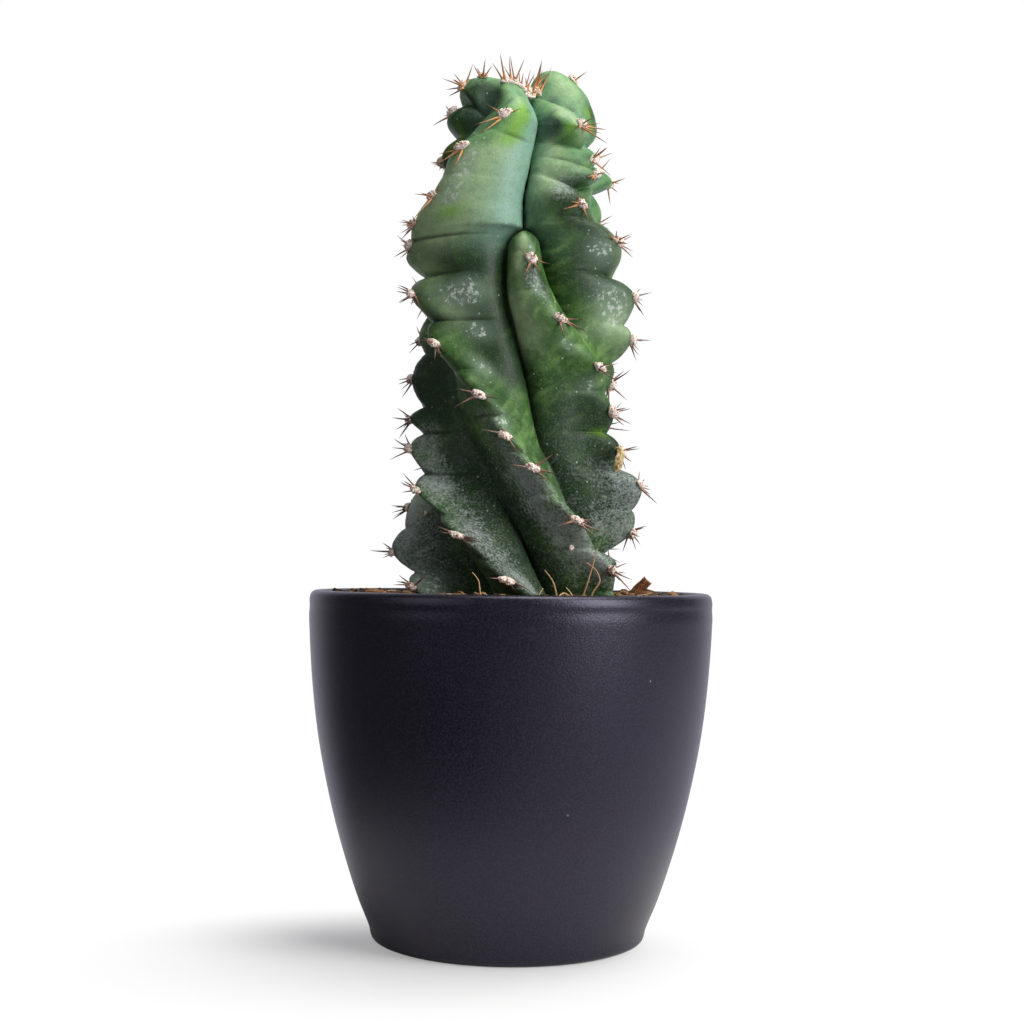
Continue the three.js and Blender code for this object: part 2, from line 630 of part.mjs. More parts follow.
function node(name, body, colour, roughness) {
  const mesh = body.getMesh();
  const geometry = new THREE.BufferGeometry();
  const positions = new Float32Array(mesh.numVert * 3);
  for (let i = 0; i < mesh.numVert; i += 1) {
    for (let c = 0; c < 3; c += 1) positions[3 * i + c] = mesh.vertProperties[mesh.numProp * i + c];
  }
  geometry.setAttribute('position', new THREE.BufferAttribute(positions, 3));
  geometry.setIndex(Array.from(mesh.triVerts));
  geometry.computeVertexNormals();
  const material = new THREE.MeshStandardMaterial({ color: colour, roughness, metalness: 0 });
  const result = new THREE.Mesh(geometry, material);
  result.name = name;
  return result;
}

const object = new THREE.Group();
object.name = 'potted_spiral_cereus';
object.add(
  node('pot', pot(), '#2e2b34', 0.55),
  node('soil', soil(), '#3a2a20', 0.95),
  node('stem', stem(), '#4a7a4c', 0.6),
  node('bark_stick', stick(), '#6b4a33', 0.85),
);

export default object;
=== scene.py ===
"""Potted spiral cereus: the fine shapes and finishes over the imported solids.

Shapes are worked out in millimetres, with +Z up, the origin at the middle of the pot's foot and the
short rib towards -Y, and put into the scene in metres.
"""

import bpy
import numpy as np
from mathutils import Color, Matrix


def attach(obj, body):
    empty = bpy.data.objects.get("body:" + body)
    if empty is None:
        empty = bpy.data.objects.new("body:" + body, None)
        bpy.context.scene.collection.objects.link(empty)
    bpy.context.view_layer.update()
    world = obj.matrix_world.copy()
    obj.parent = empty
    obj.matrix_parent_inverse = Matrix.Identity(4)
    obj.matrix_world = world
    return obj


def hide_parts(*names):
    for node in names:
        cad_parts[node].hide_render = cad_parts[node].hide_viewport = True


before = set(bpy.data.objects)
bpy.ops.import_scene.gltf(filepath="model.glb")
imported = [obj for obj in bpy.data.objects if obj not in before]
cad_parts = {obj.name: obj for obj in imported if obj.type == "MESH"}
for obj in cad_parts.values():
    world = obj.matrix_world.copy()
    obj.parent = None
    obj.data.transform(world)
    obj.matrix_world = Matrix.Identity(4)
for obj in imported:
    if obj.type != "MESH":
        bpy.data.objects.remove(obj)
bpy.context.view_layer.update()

bl_info = {
    "name": "Potted spiral cereus",
    "version": (1, 0, 0),
    "blender": (4, 5, 0),
    "location": "3D View > Sidebar > Cereus",
    "description": "A spiralling column cactus in a matt dark pot, piece by piece",
    "category": "Add Mesh",
}

MM = 0.001

# Driving sizes
POT_HEIGHT = 123.5
POT_RADIUS = 72.1
FOOT_RADIUS = 48
WALL = 4.5
SOIL_TOP = 121
GAP = 0.35

# How far out from the axis litter on the bed may lie: its places, the ends of chips, and rootlets
PLACE_EDGE, CHIP_EDGE, ROOTLET_EDGE = 65.5, 65.6, 65.8
CRUMBS = 2600
FIBRES = 420

# Stem heights: below SOIL_TOP it is the buried foot, past SHOULDER the surface closes over the growing tip
ROOT = 98
SHOULDER = 288
DOME_ARC = 40
AXIS_X = 1.5
TIP = (4, -1.5, 300.5)
GROOVE_RISE = 1.4

# Notches go on at this spacing past the ones listed, and a flank counts as this wide where spots lie on it
NOTCH_SPACING = 14
FLANK_WIDTH = 24

# Spines that look shorter than this from the front point along the line of sight, and are as long as TRUE_LENGTH
SHORT_SPINE = 6
TRUE_LENGTH = (6, 8.5)
# How far a spine's root lies under the skin, where its bulb is
ROOT_DEPTH = 0.9

# The floor reaches this far from the axis, and the lamps face a point in metres above the pot's foot
FLOOR_REACH = 6000
LAMPS_FACE = (0, 0, 0.14)

# Where each row of random draws starts
BED_SEED, AREOLE_SEED, HIDDEN_SEED = 12, 41, 43

# The short rib begins as a round knob in the front groove
KNOB_TOP = 251
KNOB_ROUND = 6.5

# Shares of the section along the stem, as [height, value] pairs with a smooth curve through them.
# shoulder: how far a flank stands out, as a part of the crest's radius; ridge: half width of the crest
SHOULDER_SHARE = [[98, 0.8], [185, 0.76], [215, 0.8], [240, 0.86], [262, 0.88], [288, 0.9]]
RIDGE_WIDTH = [[98, 8], [121, 6.5], [190, 6.5], [215, 8], [240, 11], [262, 12], [288, 13]]
SIDE_GROOVE = {
    "floor": [[98, 11], [110, 20], [121, 18], [150, 20], [230, 19], [262, 18], [288, 15]],
    "open": [[121, 1.2], [200, 1], [262, 0.6]],
}

# Ribs in the order they follow each other to the right. Each one gives, against height:
# turn, the compass of its crest in degrees (0 faces -Y, growing towards +X); crest, its radius;
# cut, the depth of the notches between its tubercles; reach, how far down the flank a notch runs;
# sag, how far the notches lean down towards the groove; droop, how far a lobe hangs;
# shoulder and ridge, its own values in place of SHOULDER_SHARE and RIDGE_WIDTH.
# areoles and notches are their heights, and rise is how far the crest is lifted on the dome.
# groove is the furrow on the rib's right: turn, its compass; floor, its radius; open, how wide it gapes.
RIBS = [
    {
        "name": "front left",
        "turn": [[121, 63], [131, 53], [148, 31], [166, 8], [177, -6], [191, -20], [209, -46], [228, -66],
            [240, -76], [250, -76], [256, -66], [264, -52], [278, -37], [284, -24], [290, -11], [296, -10],
            [302, -20], [308, -32], [314, -41], [322, -48]],
        "crest": [[98, 13], [108, 26], [116, 37], [121, 40], [148, 41], [166, 39], [191, 39], [209, 40],
            [247, 41], [254, 40], [262, 37.5], [278, 34], [288, 30], [298, 28], [310, 27]],
        "areoles": [290, 278, 262, 253.5, 246.5, 228, 209.5, 191, 177, 166, 148.5, 131.5],
        "notches": [285, 269, 248, 235, 218, 200, 184, 171.5, 157, 139, 124],
        "cut": [[98, 0], [120, 3], [139, 4], [200, 5], [220, 7], [238, 7.5], [248, 2], [269, 0.7], [285, 0.9],
            [298, 0]],
        "reach": [[98, 0.3], [210, 0.3], [235, 0.5], [262, 0.7], [280, 1.5]],
        "droop": [[276, 0], [289, 0.6], [300, 0.4], [315, 0]],
        "sag": [[240, 0], [250, 0], [270, 3], [286, 7]],
        "rise": 11.5,
        "groove": {
            "turn": [[121, 79], [150, 56], [165, 36], [175, 21], [184, 15], [194, 10], [205, 3], [216, -4],
                [226, -11], [240, -13], [251, -11]],
            "floor": [[98, 11], [110, 20], [121, 20], [150, 22], [175, 21], [184, 19], [205, 16], [251, 15.5]],
            "open": [[121, 1.2], [160, 0.9], [175, 0.55], [190, 0.4], [251, 0.42]],
        },
    },
    {
        "name": "short rib",
        "turn": [[121, 101], [130, 95], [145, 87], [162, 77], [173, 70], [187, 62], [202, 50], [210, 38],
            [217, 26], [228, 15], [238, 9], [251, 5]],
        "crest": [[98, 13], [108, 26], [116, 34], [125, 34], [137, 38], [147, 42.5], [160, 45.5], [173, 39.5],
            [187, 38], [202, 37], [217, 34.5], [230, 31], [238, 29], [251, 26]],
        "areoles": [239, 218, 202, 187, 173.5, 162, 145, 131],
        "notches": [228, 209.5, 194, 180, 168, 153, 137.5, 125],
        "cut": [[98, 0], [120, 3], [137, 8], [153, 3], [168, 6], [187, 4], [209, 2], [228, 1.5], [235, 0]],
        "reach": [[98, 0.3], [251, 0.3]],
        "shoulder": [[98, 0.8], [190, 0.78], [205, 0.84], [218, 0.95], [232, 1]],
        "rise": GROOVE_RISE,
        "groove": {
            "turn": [[121, 118], [150, 104], [170, 92], [187, 82], [197, 74], [205, 64], [212, 52], [220, 41],
                [228, 31], [240, 23], [251, 20]],
            "floor": [[98, 11], [110, 20], [121, 20], [150, 22], [187, 27], [197, 30], [207, 30.5], [214, 27],
                [222, 19], [240, 15], [251, 15.5]],
            "open": [[121, 1.2], [190, 1.4], [212, 1.3], [222, 0.7], [240, 0.42]],
        },
    },
    {
        "name": "front right",
        "turn": [[121, 141], [130, 135], [150, 122], [170, 112], [187, 104], [200, 97], [207, 90], [214, 82],
            [229, 76], [242, 70], [250, 60], [256, 42], [261, 38], [266, 46], [274, 57], [280, 60], [289, 46],
            [300, 44]],
        "crest": [[98, 13], [108, 25], [116, 34], [150, 36], [165, 33.5], [185, 33], [200, 34.5], [208, 38.5],
            [214, 41], [229, 42.5], [240, 39.5], [248, 38.5], [256, 36], [262, 34], [270, 34], [277, 30.5],
            [289, 30.5], [300, 30]],
        "areoles": [290.5, 277, 270.5, 258.5, 247.5, 229, 214, 199, 184, 169, 154, 139, 126],
        "notches": [282, 273, 265.5, 253.5, 236, 219, 206, 192, 177, 162, 147, 132],
        "cut": [[98, 0], [120, 3], [200, 5], [221, 4.5], [238, 9], [253, 3.5], [265, 9.5], [273, 2.5], [277, 3.5],
            [282, 8.5], [293, 0]],
        "reach": [[98, 0.3], [200, 0.3], [240, 0.4], [262, 0.55], [267, 0.6], [273, 1], [284, 1.2]],
        "droop": [[276, 0], [282, 1.4], [287, 1.6], [292, 0.8], [300, 0]],
        "sag": [[240, 0], [262, -3], [274, -5], [282, 0]],
        "rise": 3.5,
        "groove": SIDE_GROOVE,
    },
    {
        "name": "back right",
        "turn": [[121, 204], [130, 197], [150, 180], [170, 168], [187, 158], [200, 150], [229, 140], [248, 125],
            [259, 115], [269, 112], [280, 110], [300, 104], [320, 95]],
        "crest": [[98, 13], [108, 26], [116, 36], [125, 40], [200, 41], [235, 38], [250, 34], [258, 32], [266, 33],
            [273, 36.5], [280, 31], [288, 30], [300, 30.5]],
        "areoles": [305.5, 274.5, 258, 244, 230, 215, 201, 186, 171, 156, 141, 127],
        "notches": [287, 281, 268.5, 250, 236, 221, 207, 192, 177, 162, 147, 132],
        "cut": [[98, 0], [120, 3], [200, 5], [250, 6], [268, 10], [281, 8], [287, 7], [297, 0]],
        "reach": [[98, 0.3], [235, 0.4], [275, 0.9]],
        "ridge": [[98, 8], [121, 6.5], [190, 6.5], [240, 11], [262, 13], [288, 17]],
        "droop": [[276, 0], [287, 3], [298, 1], [312, 0]],
        "rise": 17.5,
        "groove": SIDE_GROOVE,
    },
    {
        "name": "back left",
        "turn": [[121, 310], [125, 303], [137, 275], [154, 250], [170, 232], [185, 215], [201, 205], [216, 195],
            [229, 188], [248, 182], [262, 190], [277, 202], [290, 207]],
        "crest": [[98, 13], [108, 26], [116, 38], [125, 42.5], [137, 44.5], [154, 42.5], [185, 40], [250, 38],
            [270, 34], [288, 29], [300, 28]],
        "areoles": [302, 289, 276, 262, 247, 231, 216, 200, 185, 170, 154, 137, 125.5],
        "notches": [294, 281, 267, 252, 237, 222, 206, 191, 176, 165, 146, 130],
        "cut": [[98, 0], [120, 4], [130, 6], [146, 3], [165, 5], [200, 5], [270, 6], [285, 4], [297, 0]],
        "reach": [[98, 0.3], [235, 0.4], [280, 0.9]],
        "rise": 12,
        "groove": SIDE_GROOVE,
    },
    {
        "name": "left",
        "turn": [[121, 369], [128, 356], [143, 332], [159, 301], [174, 281], [185, 268], [201, 256], [216, 244],
            [235, 240], [248, 243], [262, 253], [277, 265], [290, 280], [300, 293], [309, 301],
            [320, 301]],
        "crest": [[98, 13], [108, 26], [116, 37], [128, 42.5], [143, 42.5], [159, 41], [174, 39], [201, 40],
            [240, 38], [250, 33], [258, 27], [266, 27], [273, 28], [280, 28.5], [287, 27.5], [293, 28], [300, 30.5],
            [308, 29]],
        "areoles": [306, 300.5, 293.5, 279, 264, 247, 232, 216, 201, 185, 174, 159, 143, 128],
        "notches": [295.5, 286.5, 272.3, 256, 240, 225, 210, 190, 180, 165, 150, 134.5, 122],
        "cut": [[98, 0], [120, 3], [150, 5], [165, 7], [200, 5.5], [216, 6], [240, 5], [256, 3], [272, 5.5],
            [286.5, 6], [295.5, 9], [303, 1], [307, 0]],
        "reach": [[98, 0.3], [235, 0.4], [270, 0.8]],
        "droop": [[303, 0], [309, 3], [317, 4.5], [326, 0]],
        "rise": 16,
        "groove": {
            "floor": [[98, 11], [110, 19], [121, 16], [140, 16], [160, 20], [185, 24], [205, 24], [230, 20],
                [262, 17], [288, 15]],
            "open": [[121, 0.8], [145, 0.8], [165, 1.3], [205, 1.3], [235, 1.1], [262, 1.1], [285, 0.7]],
        },
    },
]
SHORT_RIB = 1

# The front groove above the knob, between the front left and the front right rib
FRONT_GROOVE = {
    "turn": [[251, 5], [262, 5], [274.5, 12], [286, 20], [299, 20], [320, 15]],
    "floor": [[251, 15.5], [262, 15.5], [275, 15], [288, 12.5], [300, 12]],
}

# Outside of the pot from foot to lip, as [radius, height]
POT_OUTSIDE = [
    [FOOT_RADIUS - 2, 0], [FOOT_RADIUS, 0.9], [49.4, 5], [53.1, 14], [58.5, 30.1], [62.3, 43.5], [65.4, 56.8],
    [68.4, 72.8], [70.4, 88.8], [71.3, 99.4], [71.9, 110], [POT_RADIUS, 115.3], [71.95, 118], [72, 120.6],
    [71.3, 122.7], [69.9, POT_HEIGHT],
]
# Inside of the pot from lip to floor
POT_INSIDE = [
    [68.6, 123.4], [67.5, 122.4], [POT_RADIUS - WALL, 120.4], [67.4, 112], [66, 94], [63.2, 70], [58.2, 46],
    [52.4, 26], [46, 11], [41, 6.2], [36, WALL],
]

# Spines measured on the real plant, by rib and areole height: compass about the seat from across
# towards up, splay from straight out, and length
SPINES = {
    "front left": {
        290: [(163, 60, 6.7), (239, 63, 10.8), (263, 76, 11.5), (1, 62, 5.9), (235, 61, 7.3)],
        278: [(185, 60, 4.2), (274, 71, 11.2), (312, 79, 11.5), (239, 61, 7.8)],
        262: [(46, 66, 6.7), (201, 60, 3.7), (229, 60, 5.9), (307, 73, 11.1)],
        253.5: [(83, 60, 3.2), (220, 59, 7.0), (232, 60, 4.4)],
        246.5: [(164, 57, 7.8), (307, 85, 7.9)],
        228: [(139, 59, 7.1), (288, 65, 7.4), (318, 84, 11.9)],
        209.5: [(146, 60, 4.0), (259, 61, 8.3), (282, 61, 8.0), (315, 65, 7.9)],
        191: [(145, 60, 8.0), (201, 60, 9.5), (341, 63, 9.5), (301, 61, 7.1)],
        177: [(144, 61, 8.9), (71, 61, 5.4), (273, 60, 7.7), (326, 60, 3.6)],
        166: [(28, 62, 11.2), (333, 61, 10.2), (171, 62, 9.0), (279, 61, 8.6), (308, 61, 5.9)],
        148.5: [(135, 63, 8.1), (4, 60, 6.3), (192, 68, 11.2), (305, 60, 10.8), (280, 61, 9.5)],
        131.5: [(323, 59, 8.2), (163, 66, 7.3), (76, 60, 4.0)],
    },
    "short rib": {
        239: [(148, 61, 5.5), (0, 60, 4.2), (331, 61, 7.9), (241, 63, 9.7), (282, 62, 7.9)],
        218: [(350, 60, 7.4), (313, 60, 9.5), (233, 64, 10.6), (292, 61, 7.2)],
        202: [(15, 60, 6.7), (335, 60, 6.7), (294, 60, 6.8), (263, 61, 4.7)],
        187: [(14, 59, 7.7), (324, 59, 9.1), (217, 65, 5.7)],
        173.5: [(15, 59, 8.1), (324, 59, 7.1), (184, 78, 9.1)],
        162: [(137, 82, 5.9), (291, 59, 5.1), (347, 59, 4.6)],
        145: [(112, 58, 7.6), (177, 58, 7.4), (208, 57, 8.1)],
    },
    "front right": {
        290.5: [(341, 60, 5.1), (333, 59, 9.9), (290, 61, 6.8), (282, 70, 11.2), (216, 72, 10.2)],
        277: [(26, 60, 3.8), (68, 60, 3.2), (256, 61, 3.9)],
        270.5: [(216, 82, 11.4), (244, 85, 12.9), (330, 60, 3.2), (231, 85, 12.5)],
        258.5: [(199, 76, 11.5), (266, 61, 7.0), (328, 60, 3.3), (120, 61, 4.3), (178, 63, 6.9)],
        247.5: [(91, 60, 3.8), (305, 60, 3.7), (167, 84, 11.7)],
        229: [(39, 60, 3.3), (262, 69, 5.9), (335, 59, 5.3)],
        214: [(336, 58, 6.1), (307, 60, 3.7), (39, 59, 4.1)],
    },
    "back right": {
        305.5: [(194, 59, 7.4), (10, 76, 8.8), (258, 60, 3.2)],
        274.5: [(184, 59, 7.2), (156, 60, 3.2), (205, 60, 4.9)],
    },
    "back left": {
        154: [(358, 59, 6.6), (329, 59, 8.3), (292, 60, 8.9), (305, 59, 7.0)],
        137: [(131, 41, 11.8), (176, 58, 7.7), (116, 59, 4.3)],
        125.5: [(327, 77, 11.1), (119, 60, 3.7), (317, 72, 9.5)],
    },
    "left": {
        306: [(342, 58, 8.4), (216, 73, 5.9), (8, 59, 6.4), (307, 59, 6.0)],
        300.5: [(166, 57, 10.1), (53, 70, 7.9), (178, 59, 5.1), (296, 76, 4.6)],
        293.5: [(81, 67, 3.6), (209, 85, 11.1), (301, 60, 3.2)],
        279: [(343, 57, 7.9), (62, 59, 3.3)],
        216: [(348, 59, 6.9), (322, 59, 7.6), (125, 72, 6.7)],
        201: [(332, 58, 8.6), (298, 59, 6.6), (248, 63, 8.1)],
        185: [(12, 57, 9.4), (336, 58, 7.2), (309, 54, 11.1)],
        174: [(92, 60, 3.2), (156, 56, 10.9), (211, 58, 8.8)],
        159: [(123, 59, 7.6), (153, 60, 5.0), (294, 62, 5.1)],
        143: [(118, 61, 7.1), (341, 64, 10.5), (158, 60, 6.9), (284, 62, 9.6), (323, 64, 10.8), (313, 64, 10.0)],
        128: [(150, 61, 6.9), (329, 62, 8.8), (260, 59, 4.5), (308, 61, 5.2)],
    },
}

# Soft spots on the skin, each [rib, height, share of the way to the groove, radius], on the left flank where the
# share is below 0: FLECKED has white scabs, CREASED deeper creases with painted shade, FLUSHED a yellow-green flush,
# PALE_AND_LIT waxy pale green that is partly a painted highlight, and DEEP_AND_SHADE deep green that is mostly painted
# shade
FLECKED = [
    [0, 226, 0.42, 6], [0, 229, 0.62, 4], [0, 268, 0.2, 4], [0, 274, 0.2, 3.5], [0, 261, 0.22, 3.5],
    [0, 214, 0.5, 4], [0, 201, 0.3, 3], [1, 219, -0.05, 2.5], [1, 209, -0.22, 3], [1, 242, 0.1, 3.5],
    [1, 229, -0.1, 4], [1, 196, -0.16, 3], [2, 244, -0.28, 5], [2, 228, -0.3, 5], [2, 221, -0.25, 5],
    [3, 250, 0.3, 5], [3, 215, -0.3, 6], [3, 190, 0.2, 5],
    [4, 240, 0.4, 6], [4, 205, -0.3, 5], [4, 170, 0.2, 6], [5, 235, 0.3, 5], [5, 200, -0.3, 4], [2, 200, 0.4, 5],
    [2, 175, -0.2, 4], [4, 128, 0.2, 6], [0, 182, 0.1, 4],
]
CREASED = [
    [0, 248, 0.35, 12], [0, 218, 0.6, 5], [0, 284, 0.6, 7], [0, 184, -0.3, 7], [2, 236, -0.6, 7], [5, 165, 0.45, 12],
    [5, 178, 0.4, 9], [2, 274, -0.4, 8], [4, 222, 0.3, 12], [3, 221, -0.4, 12], [4, 176, -0.3, 10], [3, 177, 0.3, 10],
]
FLUSHED = [
    [0, 287, 0.42, 4.5], [0, 292, 0.32, 3.5], [0, 281, 0.5, 3], [3, 297, -0.5, 1.5], [0, 256, 0.3, 2.2],
    [4, 292, 0.2, 6], [2, 288, -0.35, 3], [5, 285, 0.4, 4], [4, 240, 0.2, 5],
    [3, 306, -0.2, 2], [1, 180, -0.1, 1.5],
]
# Pale waxy green, partly a painted highlight on crests and flanks turned to the light
PALE_AND_LIT = [
    [0, 266, 0.4, 9], [0, 258, 0.45, 9], [0, 273, 0.5, 7], [0, 268, 0.15, 8], [0, 260, 0.15, 7], [0, 221, 0.3, 4],
    [1, 245, -0.2, 5], [1, 238, -0.5, 5], [1, 213, -0.8, 6], [1, 222, -0.75, 8], [2, 294, -0.15, 4], [2, 301, -0.3, 4],
    [2, 297, -0.45, 3], [2, 279, -0.7, 4], [2, 286, 0.0, 4], [2, 269, -0.7, 7], [2, 218, -0.25, 7],
    [4, 270, 0.3, 9], [3, 262, 0.3, 9], [5, 250, -0.4, 9], [4, 240, -0.4, 9], [2, 245, 0.4, 9], [4, 156, 0.05, 6],
    [0, 264, 0.22, 5], [0, 295, 0.27, 3], [0, 236, 0.05, 6], [0, 250, 0.3, 6], [3, 307, -0.5, 6], [2, 290, -0.05, 4],
]
# Deep green, mostly painted shade: in hollows, where lobes meet, under lobes and on flanks turned from the light
DEEP_AND_SHADE = [
    [0, 243, 0.3, 4], [0, 240, 0.75, 9], [0, 230, 0.75, 12], [0, 219, 0.85, 9], [0, 210, 0.8, 9],
    [2, 260, -0.28, 9], [2, 253, -0.2, 6], [2, 287, -0.75, 6], [2, 294, -0.75, 5], [2, 238, -0.4, 9],
    [2, 232, -0.35, 8], [2, 243, -0.25, 6], [3, 308, -0.85, 2.5], [3, 301, -0.8, 2], [0, 299, -0.35, 6],
    [0, 294, -0.5, 6], [5, 301, 0.9, 8], [0, 213, 0.7, 7], [0, 220, 0.6, 5], [1, 181, -0.55, 8],
    [1, 171, -0.6, 8], [0, 206, 0.8, 6], [3, 296, -0.4, 4], [0, 218, 0.05, 5], [5, 302, 0.66, 7],
    [5, 295, 0.8, 8], [5, 293, 0.4, 7],
    [5, 279, 0.4, 9], [5, 268, 0.4, 9], [5, 203, 0.4, 11], [5, 192, 0.4, 11], [5, 171, 0.7, 10], [5, 158, 0.75, 9],
    [5, 147, 0.8, 8], [5, 137, 0.62, 7], [5, 130, 0.42, 8], [0, 150, -0.8, 7], [1, 164, -0.45, 12], [1, 174, -0.3, 12],
    [1, 153, -0.8, 7], [1, 188, -0.2, 7], [1, 232, 0.1, 7], [1, 232, -0.3, 5], [4, 134, 0.3, 9], [4, 146, 0.5, 7],
    [4, 128, 0.3, 9], [3, 240, 0.5, 9], [4, 215, 0.4, 9], [0, 200, 0.7, 7], [0, 160, -0.85, 8], [0, 172, -0.85, 7],
    [5, 143, 0.45, 7], [5, 136, 0.3, 7], [4, 151, 0.0, 6], [5, 125, 0.0, 6], [0, 133, -0.8, 7],
]
# Newest areoles, crowded round the growing tip, by place
NEWEST = [
    [-4.3, -15.2, 304], [-2.1, -14.8, 304], [-0.6, -14.2, 303.6], [0.8, -13.6, 302.8], [2.4, -12.4, 301.8],
    [4.2, -6, 303], [5.6, -5, 303.6], [6.8, -3.4, 304.2], [7.8, -3.2, 303], [3.6, -9, 300.6], [5.4, -7.4, 300.8],
]
# Places of areoles that stayed bare
BARE = [[-30.8, 1.8, 151.5], [20.4, -28.6, 139.2]]
# The dried flower that hangs on the short rib: points down its middle, each with its radius
WITHERED = [
    [36, -16.4, 174.4, 0.3], [37.2, -18, 174, 0.8], [37.6, -18.6, 172.4, 1.1], [37.2, -18.8, 170.4, 1.5],
    [36.6, -18.6, 168.4, 1.3], [36, -18.4, 166.8, 0.9], [35.6, -18.2, 166, 0.4],
]
# Bands of grey dust along the ribs, each [rib, lowest, highest, share, half width in shares]
DUSTY = [
    [0, 130, 186, -0.22, 0.2], [0, 136, 168, -0.22, 0.2], [5, 124, 160, 0.24, 0.12], [5, 160, 182, 0.15, 0.17],
    [1, 138, 167, -0.12, 0.17], [4, 128, 168, 0.1, 0.25], [4, 124, 150, -0.3, 0.2], [3, 124, 182, -0.2, 0.25],
    [2, 122, 178, 0.1, 0.3], [0, 122, 136, 0.3, 0.25], [2, 263, 270, -0.35, 0.22], [1, 226, 236, -0.12, 0.18],
    [1, 146, 154, -0.4, 0.15], [1, 122, 136, -0.3, 0.2],
]

# Dry rootlets that stand out of the bed, as [x, y, z] points along each from its thick end
ROOTLETS = [
    [[22, -50, 119], [24.4, -51.5, 125], [26.2, -52.2, 131], [28.3, -52.5, 138.6]],
    [[25.5, -51, 119], [27, -52.5, 124.5], [29.2, -53, 128.2], [28, -52.6, 131.6], [24.8, -51.6, 134.2]],
    [[15.4, -54, 119], [14.9, -54.4, 123.6], [13.6, -54, 128], [11, -53.4, 131.6]],
    [[-9.4, -55, 119], [-10.2, -55.6, 124.5], [-10.8, -55.2, 128], [-12.8, -54.6, 130.6]],
    [[8.6, -57, 120], [9.4, -57.4, 123.8], [10.4, -57, 125.6]],
    [[21, -56, 120], [19.6, -56.6, 124], [18, -56.2, 126]],
]
# Rootlets that arch over the bed, each [compass in degrees, radius, degrees it spans, height]
ARCHES = [[17, 55, 9, 5], [38, 62, 6, 3], [-32, 58, 8, 4]]

# Broken bark stick that leans out of the bed on the right
STICK = {"from": [37, -5.9, 115.5], "to": [48.8, -7.3, 128.4], "radius": 1.7}


def linear(colour):
    """Linear red, green and blue of an sRGB hex colour."""
    parts = np.array([int(colour[k:k + 2], 16) for k in (1, 3, 5)]) / 255
    return tuple(np.where(parts <= 0.04045, parts / 12.92, ((parts + 0.055) / 1.055) ** 2.4))


def through(pairs, x):
    """Smooth curve through [x, y] pairs, level beyond its ends.

    Each stretch is a cubic whose slopes are the chords either side, the nearer one counting more.
    """
    xs, ys = np.array(pairs, float).T
    step = np.diff(xs)
    chord = np.diff(ys) / step
    inner = (chord[:-1] * step[1:] + chord[1:] * step[:-1]) / (step[1:] + step[:-1])
    slope = np.concatenate([chord[:1], inner, chord[-1:]])
    x = np.clip(x, xs[0], xs[-1])
    i = np.clip(np.searchsorted(xs, x, side="right") - 1, 0, len(xs) - 2)
    h = xs[i + 1] - xs[i]
    t = (x - xs[i]) / h
    return ((2 * t**3 - 3 * t**2 + 1) * ys[i] + (t**3 - 2 * t**2 + t) * h * slope[i]
            + (3 * t**2 - 2 * t**3) * ys[i + 1] + (t**3 - t**2) * h * slope[i + 1])


def eased(x, low, high):
    """0 below low, 1 above high, and a smooth S between them."""
    t = np.clip((x - low) / (high - low), 0, 1)
    return t * t * (3 - 2 * t)


def noise(points, size, seed=0):
    """Smooth random value from -1 to 1 at each point.

    Random numbers sit on the corners of a cubic lattice of that size, eased from corner to corner. Each is the
    corner's place and the seed times large primes, with their bits mixed.
    """
    place = np.asarray(points, float) / size
    cell = np.floor(place).astype(np.int64)
    t = place - cell
    t = t * t * (3 - 2 * t)
    total = 0.0
    for corner in np.ndindex(2, 2, 2):
        key = (cell + corner) @ np.array([73856093, 19349663, 83492791]) + seed * 15485863
        key = ((key ^ (key >> 13)) * 1274126177) & 0x7FFFFFFF
        key = ((key ^ (key >> 15)) * 668265263) & 0x7FFFFFFF
        value = ((key >> 8) & 0xFFFF) / 32767.5 - 1
        total = total + value * np.prod(np.where(np.array(corner) == 1, t, 1 - t), axis=-1)
    return total


def unit(vectors):
    """Vectors of length one."""
    return vectors / np.maximum(np.linalg.norm(vectors, axis=-1, keepdims=True), 1e-12)


def full_turn(steps):
    """Angles of even steps once round."""
    return 2 * np.pi * np.arange(steps) / steps


def lattice(points, low=None, high=None, wrap=True, **marks):
    """Patch from grids of points (..., rows, columns, 3): points, faces and a value of each mark per point.

    Quads join neighbours, the last column meets the first where the grid wraps, and a fan of
    triangles closes each end that has an end point, low before the first row or high after the last.
    """
    grid = points.reshape((-1,) + points.shape[-3:])
    many, rows, columns = grid.shape[:3]
    i, j = np.meshgrid(np.arange(rows - 1), np.arange(columns - (not wrap)), indexing="ij")
    i, j = i.ravel(), j.ravel()
    k = (j + 1) % columns
    faces = [np.stack([i * columns + j, i * columns + k, (i + 1) * columns + k, (i + 1) * columns + j], -1)]
    blocks = [grid.reshape(many, -1, 3)]
    values = {name: [np.broadcast_to(v.reshape((-1,) + v.shape[-2:]), grid.shape[:3]).reshape(many, -1)]
              for name, v in marks.items()}
    size = rows * columns
    j = np.arange(columns)
    k = (j + 1) % columns
    for end, row in ((low, 0), (high, rows - 1)):
        if end is None:
            continue
        a, b = row * columns + j, row * columns + k
        fan = np.stack([np.full(columns, size), b, a] if row == 0 else [a, b, np.full(columns, size)], -1)
        faces.append(fan)
        blocks.append(np.broadcast_to(end, (many, 3))[:, None])
        for blocks_of in values.values():
            blocks_of.append(blocks_of[0][:, row * columns:(row + 1) * columns].mean(-1, keepdims=True))
        size += 1
    offsets = np.arange(many)[:, None, None] * size
    faces = [(f[None] + offsets).reshape(-1, f.shape[-1]) for f in faces]
    return (np.concatenate(blocks, 1).reshape(-1, 3), faces,
            {name: np.concatenate(v, 1).ravel() for name, v in values.items()})


